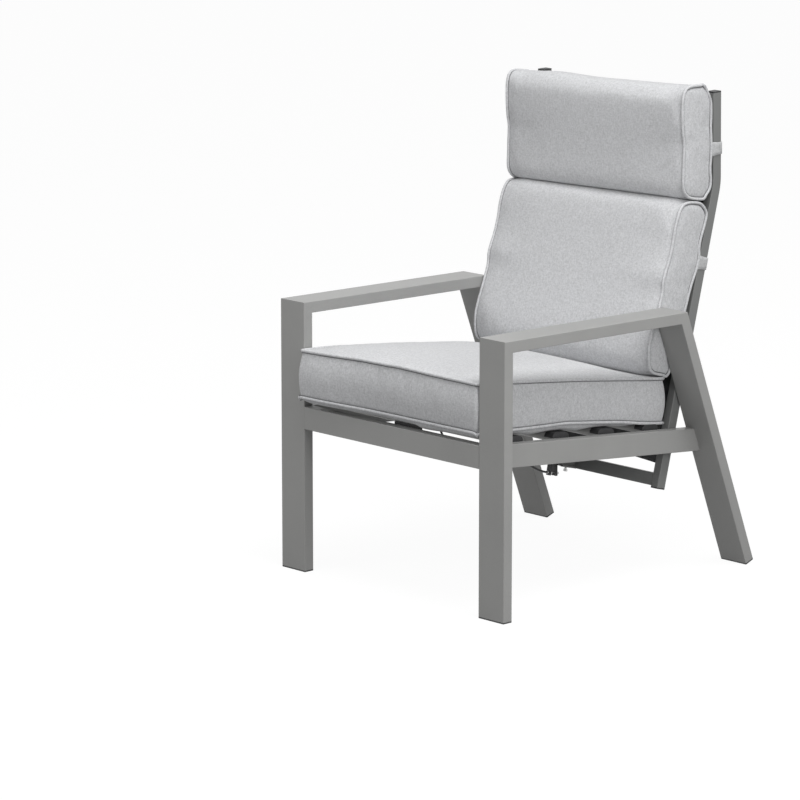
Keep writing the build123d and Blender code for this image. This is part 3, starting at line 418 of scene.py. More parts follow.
def puff(pad, held, pressure, cap):
    """Blow a pad up with Blender's cloth, its seams held; no point moves out more than the cap."""
    start = mesh_points(pad.data)
    group = pad.vertex_groups.new(name="seams")
    for index, weight in held.items():
        group.add([index], weight, "REPLACE")
    cloth = pad.modifiers.new("Puff", "CLOTH")
    cloth.settings.quality = 6
    cloth.settings.mass = 0.2
    cloth.settings.air_damping = 3
    cloth.settings.tension_stiffness = 20
    cloth.settings.compression_stiffness = 20
    cloth.settings.shear_stiffness = 6
    cloth.settings.bending_stiffness = 0.4
    cloth.settings.use_pressure = True
    cloth.settings.uniform_pressure_force = pressure
    cloth.settings.shrink_min = -0.012
    cloth.settings.vertex_group_mass = "seams"
    cloth.settings.effector_weights.gravity = 0
    cloth.collision_settings.use_collision = False
    scene = bpy.context.scene
    for number in range(1, CLOTH_FRAMES + 1):
        scene.frame_set(number)
    shaped = applied(pad)
    moved = mesh_points(shaped) - start
    bpy.data.meshes.remove(shaped)
    pad.modifiers.remove(cloth)
    pad.vertex_groups.remove(group)
    scene.frame_set(1)
    normals = np.array([vertex.normal for vertex in pad.data.vertices])
    outward = np.sum(moved * normals, axis=1, keepdims=True)
    sideways = moved - outward * normals
    return start + normals * np.clip(outward, -0.0015, cap) + 0.5 * sideways


def relax(points, faces, fixed, rounds):
    """Even out a mesh's points, apart from the fixed ones."""
    first = np.array([face[corner] for face in faces for corner in range(4)])
    second = np.array([face[(corner + 1) % 4] for face in faces for corner in range(4)])
    count = sum(np.bincount(ends, minlength=len(points)) for ends in (first, second))
    count = np.maximum(count, 1)
    free = np.ones(len(points), bool)
    free[list(fixed)] = False
    for _ in range(rounds):
        total = np.zeros_like(points)
        np.add.at(total, first, points[second])
        np.add.at(total, second, points[first])
        mean = total / count[:, None]
        points = np.where(free[:, None], points + 0.5 * (mean - points), points)
    return points


def shell_faces(rows, columns):
    """A thin closed shell's faces between a front and a rear grid of points, each listed row by row."""
    shift = rows * columns
    faces = []
    for row in range(rows - 1):
        for column in range(columns - 1):
            a = row * columns + column
            b, c, d = a + 1, a + columns + 1, a + columns
            faces.append((a, b, c, d))
            faces.append((shift + d, shift + c, shift + b, shift + a))
    rim = list(range(columns))
    rim += [row * columns + columns - 1 for row in range(1, rows)]
    rim += [(rows - 1) * columns + column for column in range(columns - 2, -1, -1)]
    rim += [row * columns for row in range(rows - 2, 0, -1)]
    for here, after in zip(rim, rim[1:] + rim[:1]):
        faces.append((after, here, shift + here, shift + after))
    return faces


def ring_faces(rings, count):
    """A closed solid's faces through rings of points: walls between the rings and a face at both ends."""
    faces = [list(range(count)), list(range((rings - 1) * count, rings * count))[::-1]]
    for ring in range(0, (rings - 1) * count, count):
        for step in range(count):
            here, after = ring + step, ring + (step + 1) % count
            faces.append([here, here + count, after + count, after])
    return faces


def finish_pad(pad, points, body, fill, *nodes):
    """Give a pad its final points, one subdivision, its body and the CAD nodes it stands for."""
    pad.data.vertices.foreach_set("co", points.reshape(-1))
    pad.data.update()
    finer = pad.modifiers.new("Finer", "SUBSURF")
    finer.levels = 1
    finer.render_levels = 1
    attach(pad, body)
    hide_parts(*nodes)


def piping(name, points, body):
    cord = solid_line(name, points, PIPING_RADIUS, "cushion_fabric", closed=True)
    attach(cord, body)


def shade_line(name, points, body):
    """A thin dark line beside a piping: painted shade of the groove along the seam."""
    line = solid_line(name, points, SHADE_LINE_RADIUS, "cushion_fabric", closed=True, look="seam_shade_grey")
    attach(line, body)


# Seat cushion: a boxed cushion with piping round its top and bottom panels
SEAT_HALF = 0.2645
SEAT_FRONT = -0.011
SEAT_REAR = 0.574
FRONT_FADE = 0.12
TOP_BOW = [
    (-0.012, 0), (0.05, 0.0035), (0.107, 0.0044), (0.24, 0.0045), (0.33, 0.0038), (0.421, 0.002),
    (0.478, 0.0007), (0.536, -0.0005), (0.575, -0.001),
]
UNDER_BOW = [
    (-0.012, 0), (0.05, 0.0025), (0.107, 0.004), (0.163, 0.006), (0.213, 0.0085), (0.264, 0.0112),
    (0.332, 0.0093), (0.383, 0.0077), (0.418, 0.0066), (0.453, 0.0045), (0.488, 0.0012),
    (0.523, -0.0009), (0.575, -0.002),
]
FRONT_LINE = [
    (-0.2645, -0.0125), (-0.17, -0.0095), (-0.1, -0.004), (-0.03, 0), (0.05, 0.001), (0.2645, 0.0015),
]
FRONT_RISE = [
    (-0.2645, -0.0015), (-0.2, 0.0004), (-0.155, 0.0018), (-0.082, 0.0045), (-0.009, 0.0047),
    (0.027, 0.0059), (0.1, 0.0041), (0.173, 0.0025), (0.21, 0.0022), (0.2645, 0.001),
]
FRONT_HANG = [
    (-0.2645, 0.003), (-0.12, 0.002), (-0.015, 0.0015), (0.07, 0.0034), (0.084, 0.0085), (0.11, 0.008),
    (0.15, 0.0055), (0.22, 0.0035), (0.2645, 0.003),
]


def read(line, place):
    """The value at a place on a line of (place, value) pairs."""
    places, values = zip(*line)
    return np.interp(place, places, values)


def fall(run, height, start, degrees):
    """The height of a plane that slopes down to the rear; a run goes back from the front legs' faces."""
    return height - (run - start) * math.tan(math.radians(degrees))


def ease(share):
    """A smooth step from 0 to 1."""
    share = np.clip(share, 0, 1)
    return share * share * (3 - 2 * share)


def bow(run, x, line):
    """How far a seam rises above its plane: fully at the cushion's sides, not in its middle."""
    return read(line, run) * (x / SEAT_HALF) ** 2


def seat_top(run, x=0):
    rise = read(FRONT_RISE, x) * ease(1 - (run - SEAT_FRONT) / FRONT_FADE)
    return fall(run, 0.499, -0.012, 6.4) + bow(run, x, TOP_BOW) + rise


def seat_bottom(run, x=0):
    return fall(run, 0.396, -0.012, 5.9) + bow(run, x, UNDER_BOW)


def slat_top(run):
    return fall(run, 0.38104, 0.025, SEAT_SLOPE)


def seat_crown(run):
    """How high the top may swell above its seams: little where the back cushion stands on it."""
    least, most, rear, reach = 0.002, 0.034, 0.53, 0.16
    return least + most * ease((rear - run) / reach)


def seat_front(run, x, level):
    """Shift runs near the front to its slightly slanting edge, further forward below at the right end."""
    share = ease(1 - (run - SEAT_FRONT) / FRONT_FADE)
    right = ease((-0.03 - x) / 0.2)
    return run + share * (read(FRONT_LINE, x) - SEAT_FRONT - 0.008 * (1 - level) * right)


def seat_rim(round_front, round_rear):
    """The seat cushion's plan as four sides with rounded corners: (x, run)."""
    half = SEAT_HALF

    def corner(x, run, x_sign, run_sign, radius):
        spots = []
        for angle in (0, 22.5, 45, 67.5, 90):
            out = radius * (1 - math.cos(math.radians(angle)))
            side = radius * (1 - math.sin(math.radians(angle)))
            spots.append((x - x_sign * out, run - run_sign * side))
        return spots

    front_right = corner(-half, SEAT_FRONT, -1, -1, round_front)
    front_left = corner(half, SEAT_FRONT, 1, -1, round_front)
    rear_left = corner(half, SEAT_REAR, 1, 1, round_rear)
    rear_right = corner(-half, SEAT_REAR, -1, 1, round_rear)
    front = [(-half / 2, SEAT_FRONT), (0, SEAT_FRONT), (half / 2, SEAT_FRONT)]
    rear = [(half / 2, SEAT_REAR), (0, SEAT_REAR), (-half / 2, SEAT_REAR)]
    return [
        front_right[2:] + front + front_left[2:][::-1],
        front_left[:3][::-1] + [(half, 0.15), (half, 0.3), (half, 0.42)] + rear_left[:3],
        rear_left[2:] + rear + rear_right[2:][::-1],
        rear_right[:3][::-1] + [(-half, 0.42), (-half, 0.3), (-half, 0.15)] + front_right[:3],
    ]


def square_out(spots):
    """Directions out of the seat's middle, nearly square to each side and turning at the corners."""
    out = spots[:, :2] - np.array([0, 0.281])
    out[:, 1] *= 0.9
    out = np.sign(out) * np.abs(out) ** 5
    return out / (np.linalg.norm(out, axis=1, keepdims=True) + 1e-12)


def seat_start(spots, rings, out):
    """The seat cushion before it is blown up: bulging sides between its seams and a domed top."""
    x, run, level = spots[:, 0], spots[:, 1], spots[:, 2]
    on_side = np.zeros(len(spots))
    for ring in rings:
        on_side[ring] = 1
    bulge = 0.0075 * np.sin(np.pi * level) ** 0.8 * on_side
    points = np.empty_like(spots)
    points[:, 0] = x + out[:, 0] * bulge * 0.5
    shifted = seat_front(run, x, level) + out[:, 1] * bulge
    points[:, 1] = FRONT_Y + shifted
    low = seat_bottom(shifted, x)
    dome = (1 - (x / SEAT_HALF) ** 2) * ease((run - SEAT_FRONT) / 0.22) * ease((0.56 - run) / 0.2)
    raised = 0.021 * np.maximum(dome, 0) * (level == 1)
    points[:, 2] = low + (seat_top(shifted, x) - low) * level + raised
    return points


def press_seat(shaped, under):
    """Limit the seat's crown, rest it on the slats, let it hang between them and keep it in its room."""
    x, run = shaped[:, 0], shaped[:, 1] - FRONT_Y
    above = seat_top(run, x)
    crown = np.clip(shaped[:, 2] - above, 0, None)
    room = seat_crown(run)
    shaped[:, 2] = np.where(crown > 0, above + room * np.tanh(crown / room), shaped[:, 2])
    nearest = np.min([np.abs(run - slat) for slat in SLAT_RUNS], axis=0)
    hang = 0.0055 * np.clip((nearest - SLAT_HALF_WIDTH) / 0.045, 0, 1) ** 0.8
    hang += (read(FRONT_HANG, x) - hang) * ease((0.085 - run) / 0.03)
    side_gap = SEAT_HALF - np.abs(x)
    floor = slat_top(run) + 0.0006 - hang * np.clip(side_gap / 0.02, 0, 1)
    end_gap = np.minimum(run - seat_front(SEAT_FRONT, x, 0), SEAT_REAR - run)
    inward = np.clip(np.minimum(side_gap, end_gap) / 0.022, 0, 1)
    belly = np.sqrt(1 - (1 - inward) ** 2)
    edge = seat_bottom(run, x)
    rounded = edge + (np.minimum(floor, edge) - edge) * belly
    shaped[:, 2] = np.where(under, rounded, np.maximum(shaped[:, 2], floor))
    before_legs, between_frames = 0.277, 0.2702
    wide_limit = np.where(run < -0.002, before_legs, between_frames)
    shaped[:, 0] = np.clip(x, -wide_limit, wide_limit)
    shaped[:, 1] = np.clip(shaped[:, 1], FRONT_Y - 0.029, FRONT_Y + 0.5795)


def make_seat():
    wide, deep = 66, 72
    rim = rim_points(seat_rim(0.012, 0.02), (wide, deep, wide, deep))
    levels = np.concatenate([[0, 0.035, 0.08], np.linspace(0.15, 0.85, 9), [0.92, 0.965, 1]])
    spots, faces, rings = pad_shape(rim, wide, deep, levels)
    out = square_out(spots)
    pad = piece("seat_cushion_pad", seat_start(spots, rings, out), faces, "cushion_fabric")
    seams = rings[0] + rings[-1]
    shaped = puff(pad, {index: 1.0 for index in seams}, pressure=4, cap=0.03)
    shaped = relax(shaped, faces, seams, 3)
    under = np.zeros(len(shaped), bool)
    under[rings[0]] = True
    panel = len(levels) * len(rim)
    under[panel: panel + (wide - 1) * (deep - 1)] = True
    press_seat(shaped, under)
    # The dark lines set beside each piping are painted shade of the seam grooves
    piping_out, shade_gap, tuck = 0.0022, 0.004, 0.0016
    for name, ring, rise in (("low", rings[0], 1), ("top", rings[-1], -1)):
        line = shaped[ring].copy()
        line[:, :2] += piping_out * out[ring]
        limit = np.where(line[:, 1] < FRONT_Y - 0.004, 0.272, 0.267)
        line[:, 0] = np.clip(line[:, 0], -limit, limit)
        piping(f"seat_piping_{name}", line, "seat_frame")
        shade_points = line.copy()
        shade_points[:, :2] += 0.0004 * out[ring]
        shade_points[:, 2] += shade_gap * rise
        shade_line(f"seat_seam_{name}", shade_points, "seat_frame")
        shaped[ring, :2] -= tuck * out[ring]
        shaped[ring, 2] += tuck * rise
    finish_pad(pad, shaped, "seat_frame", 0.75, "seat_cushion")


# Back and head cushions: the front rolls over above and below, and piped gussets close the sides
UPPER_HALF = 0.2665
MEETING = 0.5182


def make_upper(name, ends, middles, counts, frame_axes, node_name, settle):
    """A bolster from its side views: piped seams at both ends, and a panel rolled round between them."""
    wide, high = counts
    half = UPPER_HALF
    rim = rim_points(ends, (wide, high, wide, high))
    centre = rim_points(middles, (wide, high, wide, high))
    close = [half - inset for inset in (0, 0.0035, 0.008, 0.014)]
    levels = np.concatenate([[-x for x in close], np.linspace(-0.245, 0.245, 55), close[::-1]])
    spots, faces, rings = pad_shape(rim, wide, high, levels)
    low, top = rim[:, 0].min(), rim[:, 0].max()
    reach = 0.045 + 0.115 * ease((np.minimum(rim[:, 0] - low, top - rim[:, 0]) - 0.02) / 0.05)
    for ring, level in zip(rings, levels):
        spots[ring, :2] = rim + (centre - rim) * ease((half - abs(level)) / reach)[:, None]
    origin, along, forward = (np.array(vector) for vector in frame_axes)

    def in_space(place):
        """Points from places: how far up the frame, how far forward of it and where across."""
        points = origin + place[:, :1] * along + place[:, 1:2] * forward
        points[:, 0] = place[:, 2]
        return points

    pad = piece(name, in_space(spots), faces, "cushion_fabric")
    seams = rings[0] + rings[-1]
    held = {index: 1.0 for index in seams}
    held.update({index: 0.9 for index in rings[1] + rings[-2]})
    shaped = relax(puff(pad, held, pressure=4, cap=0.005), faces, seams, 3)
    place = np.stack([(shaped - origin) @ along, (shaped - origin) @ forward, shaped[:, 0]], axis=1)
    settle(place, np.clip((place[:, 0] - low) / (top - low), 0, 1))
    middle = place[rings[0], :2].mean(axis=0)
    # The dark lines set beside each piping are painted shade of the seam grooves
    shade_gap, tuck_in, tuck_across = 0.0042, 0.003, 0.0022
    lines = (
        ("piping", piping, 0, 0),
        ("seam_front", shade_line, shade_gap, 0.0003),
        ("seam_side", shade_line, 0, shade_gap),
    )
    for side, ring, beside in (("right", rings[0], rings[1]), ("left", rings[-1], rings[-2])):
        line = place[ring].copy()
        ahead = np.roll(line[:, :2], -1, axis=0) - np.roll(line[:, :2], 1, axis=0)
        inward = np.stack([-ahead[:, 1], ahead[:, 0]], axis=1)
        inward *= np.sign(np.sum(inward * (middle - line[:, :2]), axis=1, keepdims=True))
        inward /= np.linalg.norm(inward, axis=1, keepdims=True)
        for kind, make, inset, deep in lines:
            shifted = line.copy()
            shifted[:, :2] += deep * inward
            shifted[:, 2] *= 1 - inset / half
            make(f"{name}_{kind}_{side}", in_space(shifted), "back_frame")
        place[ring, :2] += tuck_in * inward
        place[ring, 2] *= 1 - tuck_across / half
        place[beside, :2] -= 0.0006 * inward
    finish_pad(pad, in_space(place), "back_frame", 0.7, node_name)


def tilt(place):
    """How far a point is towards the right end, where the upper cushions have sunk a little."""
    return np.clip(0.5 - place[:, 2] / (2 * UPPER_HALF), 0, 1)


def sink(place, share, low, high):
    """Let a cushion sink towards its right end, by one amount below and another above."""
    place[:, 0] -= tilt(place) * (low + (high - low) * share)


def lean_on_frame(place, most):
    """Swell the front a little at the right end; keep clear of the uprights, the sling and a limit."""
    off_upright, off_sling = 0.0182, 0.0125
    place[:, 1] += 0.0025 * tilt(place) * np.clip((place[:, 1] - 0.06) / 0.04, 0, 1)
    rear = np.where(np.abs(place[:, 2]) > 0.244, off_upright, off_sling)
    place[:, 1] = np.clip(place[:, 1], rear, most)
    place[:, 2] = np.clip(place[:, 2], -0.2704, 0.2704)


def meeting(place):
    """The height on the frame's lower part where the back and head cushions meet."""
    return MEETING - 0.0115 * tilt(place)


def settle_back(place, share):
    """The back cushion stands on the seat cushion and ends under the head cushion."""
    sink(place, share, 0, 0.0085)
    lean_on_frame(place, 0.142)
    place[:, 0] = np.minimum(place[:, 0], meeting(place) - 0.0002)
    height = HINGE.z + place[:, 0] * BACK_UP.z + place[:, 1] * BACK_FRONT.z
    run = HINGE.y - FRONT_Y + place[:, 0] * BACK_UP.y + place[:, 1] * BACK_FRONT.y
    edge = np.abs(place[:, 2]) > 0.262
    floor = seat_top(run) + seat_crown(run) + np.where(edge, -0.0005, 0.0004)
    place[:, 0] += np.clip(floor - height, 0, None) / BACK_UP.z


def settle_head(place, share):
    """The head cushion presses on the back cushion's top; its own top falls back at the right end."""
    sink(place, share, 0.0135, 0.0127)
    place[:, 0] -= tilt(place) * 0.009 * share**3 * np.clip((0.098 - place[:, 1]) / 0.06, 0, 1)
    swell = 0.0045 * (1 - (place[:, 2] / UPPER_HALF) ** 6)
    swell += 0.006 * np.exp(-(((place[:, 2] + 0.15) / 0.08) ** 2))
    place[:, 0] += share**3 * swell
    lean_on_frame(place, 0.13)
    turn = BACK_LEAN - HEAD_LEAN
    level = BEND_HEIGHT + place[:, 0] * math.cos(turn) - place[:, 1] * math.sin(turn)
    place[:, 0] += np.clip(meeting(place) + 0.0002 - level, 0, None) / math.cos(turn)


# Side views at the ends and in the middle, up the frame and forward of it: top, front, bottom and rear
BACK_SIDES = [
    [(0.4924, 0.0188), (0.502, 0.0236), (0.5109, 0.0356), (0.5149, 0.0494), (0.5138, 0.0682),
     (0.5107, 0.0831), (0.5045, 0.0972)],
    [(0.5045, 0.0972), (0.4976, 0.1016), (0.482, 0.1068), (0.452, 0.1096), (0.423, 0.1079),
     (0.3975, 0.1088), (0.376, 0.1108), (0.355, 0.1143), (0.333, 0.1163), (0.302, 0.1125),
     (0.2265, 0.121), (0.2095, 0.1226), (0.189, 0.1228), (0.1694, 0.1189), (0.1564, 0.1149),
     (0.1421, 0.1067)],
    [(0.1421, 0.1067), (0.1359, 0.0938), (0.1347, 0.0784), (0.1344, 0.0619), (0.1325, 0.0537),
     (0.1403, 0.0471), (0.1473, 0.0453)],
    [(0.1473, 0.0453), (0.2, 0.04), (0.26, 0.034), (0.31, 0.0296), (0.332, 0.0275), (0.349, 0.0244),
     (0.3666, 0.0212), (0.38, 0.0188), (0.405, 0.0191), (0.417, 0.0225), (0.434, 0.0239),
     (0.451, 0.0223), (0.4707, 0.0197), (0.4924, 0.0188)],
]
HEAD_SIDES = [
    [(0.2066, 0.0319), (0.2208, 0.0421), (0.2216, 0.0564), (0.2222, 0.0726), (0.2217, 0.0867),
     (0.2174, 0.0978)],
    [(0.2174, 0.0978), (0.2117, 0.1029), (0.197, 0.1079), (0.183, 0.109), (0.1555, 0.1093),
     (0.1275, 0.1078), (0.113, 0.1058), (0.099, 0.1032), (0.0615, 0.1051), (0.0347, 0.1062),
     (0.0133, 0.1074), (-0.0033, 0.1042), (-0.017, 0.0917)],
    [(-0.017, 0.0917), (-0.0225, 0.0768), (-0.0261, 0.0572), (-0.0275, 0.0415), (-0.0202, 0.0356),
     (-0.0081, 0.0238)],
    [(-0.0081, 0.0238), (0.0104, 0.0199), (0.035, 0.0219), (0.0565, 0.02), (0.078, 0.0184),
     (0.103, 0.0189), (0.131, 0.0205), (0.145, 0.0195), (0.173, 0.0192), (0.1873, 0.0217),
     (0.2066, 0.0319)],
]
BACK_MIDDLE = [
    [(0.496, 0.02), (0.512, 0.026), (0.5225, 0.038), (0.5265, 0.052), (0.5265, 0.068), (0.5235, 0.083),
     (0.514, 0.0965)],
    [(0.514, 0.0965), (0.505, 0.1035), (0.488, 0.109), (0.455, 0.1125), (0.42, 0.1135), (0.38, 0.1145),
     (0.34, 0.116), (0.3, 0.1175), (0.26, 0.1195), (0.22, 0.1225), (0.19, 0.124), (0.168, 0.122),
     (0.15, 0.117), (0.137, 0.108)],
    [(0.137, 0.108), (0.127, 0.096), (0.122, 0.08), (0.123, 0.062), (0.13, 0.05), (0.142, 0.042)],
    [(0.142, 0.042), (0.17, 0.03), (0.21, 0.022), (0.26, 0.018), (0.32, 0.0165), (0.4, 0.016),
     (0.45, 0.0165), (0.496, 0.02)],
]
HEAD_MIDDLE = [
    [(0.2, 0.022), (0.211, 0.031), (0.2175, 0.047), (0.2195, 0.064), (0.2185, 0.082), (0.213, 0.097)],
    [(0.213, 0.097), (0.206, 0.1035), (0.192, 0.1085), (0.17, 0.111), (0.14, 0.1115), (0.11, 0.111),
     (0.08, 0.1105), (0.05, 0.111), (0.025, 0.112), (0.005, 0.111), (-0.012, 0.107), (-0.0235, 0.0985)],
    [(-0.0235, 0.0985), (-0.032, 0.086), (-0.037, 0.068), (-0.0375, 0.05), (-0.031, 0.035),
     (-0.014, 0.0235)],
    [(-0.014, 0.0235), (0.01, 0.019), (0.05, 0.0165), (0.1, 0.016), (0.15, 0.0165), (0.18, 0.018),
     (0.2, 0.022)],
]

make_seat()
make_upper(
    "back_cushion_pad", BACK_SIDES, BACK_MIDDLE, (14, 46), (HINGE, BACK_UP, BACK_FRONT),
    "back_cushion", settle_back,
)
make_upper(
    "head_cushion_pad", HEAD_SIDES, HEAD_MIDDLE, (14, 28), (BEND, HEAD_UP, HEAD_FRONT),
    "head_cushion", settle_head,
)


# Sling: one taut sheet between the uprights, bent with them, with an arched lower hem
def back_line(advance, low, high, steps):
    """Points and forward directions on the uprights' bent line, from below the hinge to above the bend."""
    radius = BEND_RADIUS - advance
    turn = BACK_LEAN - HEAD_LEAN
    corner_half = radius * math.tan(turn / 2)
    start = HINGE + BACK_FRONT * (UPRIGHT_ADVANCE + advance) - BACK_UP * low
    mean = (BACK_FRONT + HEAD_FRONT) / (1 + BACK_FRONT.dot(HEAD_FRONT))
    corner = BEND + mean * advance
    straight = (corner - start).length - corner_half
    arc = radius * turn
    total = straight + arc + high - corner_half
    line = []
    for step in range(steps + 1):
        gone = total * step / steps
        if gone <= straight:
            line.append((start + BACK_UP * gone, BACK_FRONT))
        elif gone <= straight + arc:
            angle = BACK_LEAN - (gone - straight) / radius
            forward = Vector((0, -math.cos(angle), math.sin(angle)))
            centre = corner - BACK_UP * corner_half + BACK_FRONT * radius
            line.append((centre - forward * radius, forward))
        else:
            line.append((corner + HEAD_UP * (corner_half + gone - straight - arc), HEAD_FRONT))
    return line, total


def make_sling():
    low, high, half, thickness = 0.058, 0.14, 0.2522, 0.0012
    deepest, arch_rise = 0.006, 0.01
    line, length = back_line(0.006, low, high, 150)
    columns = 60
    front, rear = [], []
    for row, (spot, forward) in enumerate(line):
        for column in range(columns + 1):
            x = half * (2 * column / columns - 1)
            share = 1 - (x / half) ** 2
            sag = deepest * share * math.sin(math.pi * min(1, row / 110)) ** 0.7
            arch = arch_rise * share * max(0, 1 - row / 12) ** 1.5
            middle = spot - forward * sag + BACK_UP * arch + Vector((x, 0, 0))
            front.append(middle + forward * (thickness / 2))
            rear.append(middle - forward * (thickness / 2))
    faces = shell_faces(len(line), columns + 1)
    made = piece("sling_sheet", front + rear, faces, "sling_mesh")
    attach(made, "back_frame")
    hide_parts("sling")


make_sling()


# Bands: elastic straps that hold the two upper cushions to the uprights
def make_band(name, origin, along, forward, node_name):
    """A strap from the cushion round each upright's outer side and across behind, with soft corners."""
    outer, reach, lap, bend, behind = 0.2692, 0.0152, 0.247, 0.004, 0.24

    def corner(x_sign, y_sign, turns):
        spots = []
        for angle in turns:
            x = outer - bend + bend * math.sin(math.radians(angle))
            y = reach - bend + bend * math.cos(math.radians(angle))
            spots.append((x_sign * x, y_sign * y))
        return spots

    out, back = (0, 30, 60, 90), (90, 60, 30, 0)
    path = [(-lap, reach)] + corner(-1, 1, out) + [(-outer, 0)] + corner(-1, -1, back)
    path += [(x, -reach) for x in np.linspace(-behind, behind, 17)]
    path += corner(1, -1, out) + [(outer, 0)] + corner(1, 1, back) + [(lap, reach)]
    path = np.array(path)
    slopes = np.gradient(path, axis=0)
    outward = np.stack([slopes[:, 1], -slopes[:, 0]], axis=1)
    outward /= np.linalg.norm(outward, axis=1, keepdims=True)
    heights = np.array([-0.0135, -0.0129, -0.0065, 0, 0.0065, 0.0129, 0.0135])
    swell = np.array([0.0001, 0.0008, 0.0009, 0.0009, 0.0009, 0.0008, 0.0001])
    origin, along, forward = (np.array(vector) for vector in (origin, along, forward))
    points = []
    for side in (1, -1):
        for spot, normal in zip(path, outward):
            flare = 1 + 0.16 * np.clip(spot[1] / reach, 0, 1)
            for height, thick in zip(heights, swell):
                x, ahead = spot + side * thick * normal
                points.append(origin + along * height * flare + forward * ahead + np.array([x, 0, 0]))
    faces = shell_faces(len(path), len(heights))
    made = piece(name, points, faces, "band_fabric")
    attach(made, "back_frame")
    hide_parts(node_name)


back_middle = HINGE + BACK_FRONT * UPRIGHT_ADVANCE + BACK_UP * 0.389
head_middle = BEND + HEAD_UP * 0.078
make_band("back_band", back_middle, BACK_UP, BACK_FRONT, "back_cushion_band")
make_band("head_band", head_middle, HEAD_UP, HEAD_FRONT, "head_cushion_band")


# Black caps over the slats' ends, above the side rails: partly real end caps, partly painted shade, for they
# reach in over the slat tops that the cushion shades
def cap_outline(grown):
    """A slat's flat oval above the side rail, grown all round: (across, height) from rear to front."""
    round_high = SLAT_HALF_HEIGHT + grown
    low = SLAT_HALF_HEIGHT - SLAT_RISE + 0.0003
    flat = SLAT_HALF_WIDTH - SLAT_HALF_HEIGHT
    turns = np.linspace(math.asin(low / round_high), math.pi / 2, 9)
    rear = [(flat + round_high * math.cos(turn), round_high * math.sin(turn)) for turn in turns]
    return rear + [(-across, height) for across, height in rear[::-1]]


def make_slat_caps():
    slope = math.radians(SEAT_SLOPE)
    rail_dir = np.array([0, math.cos(slope), -math.sin(slope)])
    rail_up = np.array([0, math.sin(slope), math.cos(slope)])
    inner, outer, edge = 0.0002, 0.0008, 0.0004
    mouth, floor, brim, face = 0.247, 0.2711, 0.2716, 0.2719
    rings = ((floor, inner), (mouth, inner), (mouth, outer), (brim, outer), (face, edge))
    walls = ring_faces(len(rings), len(cap_outline(0)))
    for index, run in enumerate(SLAT_RUNS):
        middle = np.array([0, FRONT_Y + run, slat_top(run)]) - rail_up * SLAT_HALF_HEIGHT
        for side, sign in (("left", 1), ("right", -1)):
            points = []
            for x, grown in rings:
                for across, height in cap_outline(grown):
                    points.append(middle + rail_dir * across + rail_up * height + np.array([sign * x, 0, 0]))
            faces = [wall[::-sign] for wall in walls]
            # The caps' black over the slat tops paints the cushion's shade on the slat ends
            cap = piece(f"slat_cap_{index + 1}_{side}", points, faces, "black_plastic", smooth=False)
            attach(cap, "seat_frame")


make_slat_caps()


# A black plate behind the front rail, under the cushion's front: painted shade, a dark sheet put in the
# shaded gap under the cushion
def make_painted_shade_plate():
    right, left, low, high, front, rear = -0.012, 0.071, 0.3625, 0.3766, 0.0252, 0.0282
    cut = 0.002
    corners = [(right, low), (left, low), (left, high - cut), (left - cut, high)]
    corners += [(right + cut, high), (right, high - cut)]
    points = [(x, FRONT_Y + run, height) for run in (front, rear) for x, height in corners]
    # Near-black, so that it paints the shade in the gap between the cushion and the front rail
    plate = piece("painted_shade_plate", points, ring_faces(2, len(corners)), "black_steel", smooth=False)
    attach(plate, "seat_frame")


make_painted_shade_plate()


# Release cable: the sheath from the handle to its clip, and the tail from there to the release head
def by_run(run, height, x):
    return Vector((x, FRONT_Y + run, height))


def on_spring(place, drop):
    """A point beside the gas spring: how far along it from the front pivot, and how far below it."""
    return FRONT_PIVOT + SPRING_DIR * place + SPRING_DOWN * drop


SPAN = (REAR_PIVOT - FRONT_PIVOT).length
handle_route = [
    by_run(0.261, 0.35, -0.3035),
    by_run(0.298, 0.35, -0.3035),
    by_run(0.341, 0.354, -0.2621),
    by_run(0.338, 0.318, -0.2149),
    by_run(0.304, 0.29, -0.1621),
    by_run(0.268, 0.272, -0.0981),
    by_run(0.266, 0.259, -0.0401),
    on_spring(0.22, CABLE_DROP),
    on_spring(0.255, CABLE_DROP),
]
tail_route = [
    on_spring(0.255, CABLE_DROP),
    on_spring(0.33, CABLE_DROP),
    on_spring(SPAN - 0.062, RELEASE_DROP),
    on_spring(SPAN - 0.041, RELEASE_DROP),
]
cable = solid_line("release_cable_sheath", handle_route, CABLE_RADIUS, "cable_sheath", order=3)
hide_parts("release_cable")
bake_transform(cable)
tail = solid_line("cable_tail_sheath", tail_route, CABLE_RADIUS, "cable_sheath", order=3)
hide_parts("cable_tail")
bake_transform(tail)


# Floor, light and camera
def stage_material():
    """A pale floor that reads white to the camera and keeps a soft shadow."""
    made = bpy.data.materials.new("pale_floor")
    made.use_nodes = True
    tree = made.node_tree
    tree.nodes.clear()
    out = node(tree, "ShaderNodeOutputMaterial")
    seen = seen_rays(tree)
    grey = ramp(tree, seen, 0, 1, (0.3, 0.3, 0.3), (0.9, 0.9, 0.9))
    plain = node(tree, "ShaderNodeBsdfDiffuse", Color=grey)
    white = node(tree, "ShaderNodeEmission", Color=(1, 1, 1, 1), Strength=1.04)
    share = calculate(tree, "MULTIPLY", seen, 0.9)
    mixed = node(tree, "ShaderNodeMixShader", Fac=share)
    tree.links.new(plain.outputs[0], mixed.inputs[1])
    tree.links.new(white.outputs[0], mixed.inputs[2])
    tree.links.new(mixed.outputs[0], out.inputs["Surface"])
    return made


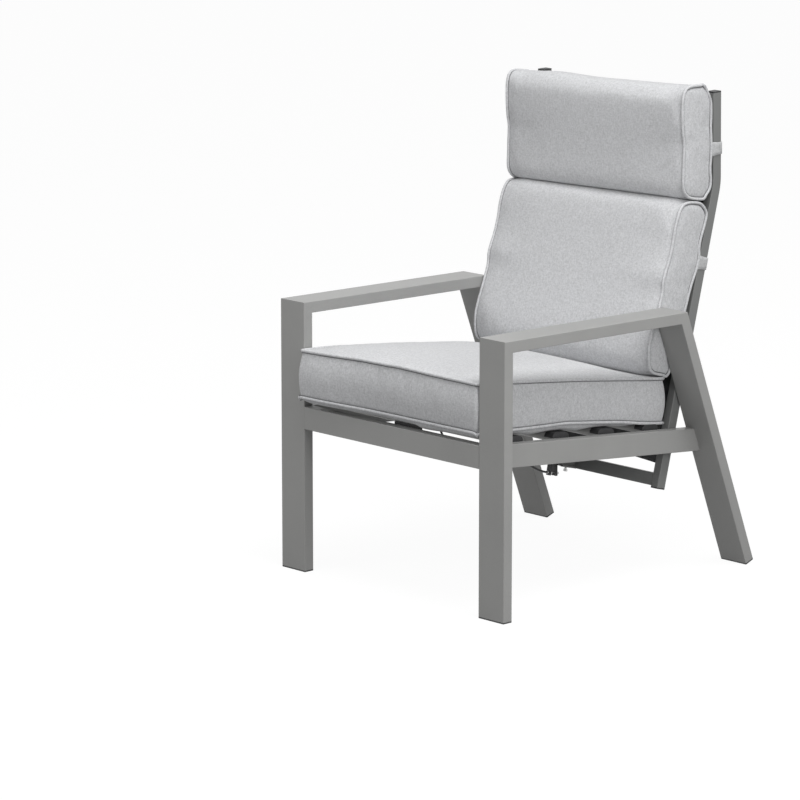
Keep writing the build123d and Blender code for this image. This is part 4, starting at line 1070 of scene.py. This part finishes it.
def seen_rays(tree):
    """1 for rays from the camera, from a reflection and through glass."""
    path = node(tree, "ShaderNodeLightPath")
    first = calculate(tree, "MAXIMUM", path.outputs["Is Camera Ray"], path.outputs["Is Glossy Ray"])
    return calculate(tree, "MAXIMUM", first, path.outputs["Is Transmission Ray"])


floor_corners = [(-30, -30, 0), (30, -30, 0), (30, 30, 0), (-30, 30, 0)]
floor = piece("floor", floor_corners, [(0, 1, 2, 3)], "frame_coat", smooth=False)
floor.data.materials.clear()
floor.data.materials.append(stage_material())

world = bpy.data.worlds.new("studio")
world.use_nodes = True
tree = world.node_tree
tree.nodes.clear()
sky = node(tree, "ShaderNodeOutputWorld")
ambient = node(tree, "ShaderNodeBackground", Color=(1, 1, 1, 1), Strength=0.42)
backdrop = node(tree, "ShaderNodeBackground", Color=(1, 1, 1, 1), Strength=1.0)
either = node(tree, "ShaderNodeMixShader", Fac=seen_rays(tree))
tree.links.new(ambient.outputs[0], either.inputs[1])
tree.links.new(backdrop.outputs[0], either.inputs[2])
tree.links.new(either.outputs[0], sky.inputs["Surface"])
bpy.context.scene.world = world


def lamp(name, place, target, size, power):
    light = bpy.data.lights.new(name, "AREA")
    light.shape = "DISK"
    light.size = size
    light.energy = power
    made = put(name, light)
    made.location = place
    made.rotation_euler = (Vector(target) - Vector(place)).to_track_quat("-Z", "Y").to_euler()


lamp("key", (1.3, -0.45, 4.2), (0, 0, 0.5), 2.6, 110)
lamp("side", (2.4, -0.5, 1.3), (0, 0, 0.5), 1.2, 18)
lamp("front", (-0.5, -1.6, 1.3), (0, 0, 0.5), 0.9, 4.4)

camera = put("camera", bpy.data.cameras.new("camera"))
camera.location = (6.527, -6.5152, 2.2987)
camera.rotation_euler = (math.radians(90 - 11.838), 0, math.radians(46.625))
camera.data.sensor_width = 36
camera.data.lens = 193.85
camera.data.shift_x = -0.0006
camera.data.shift_y = 0.0031
camera.data.clip_end = 200
bpy.context.scene.camera = camera
bpy.context.scene.view_settings.view_transform = "Standard"
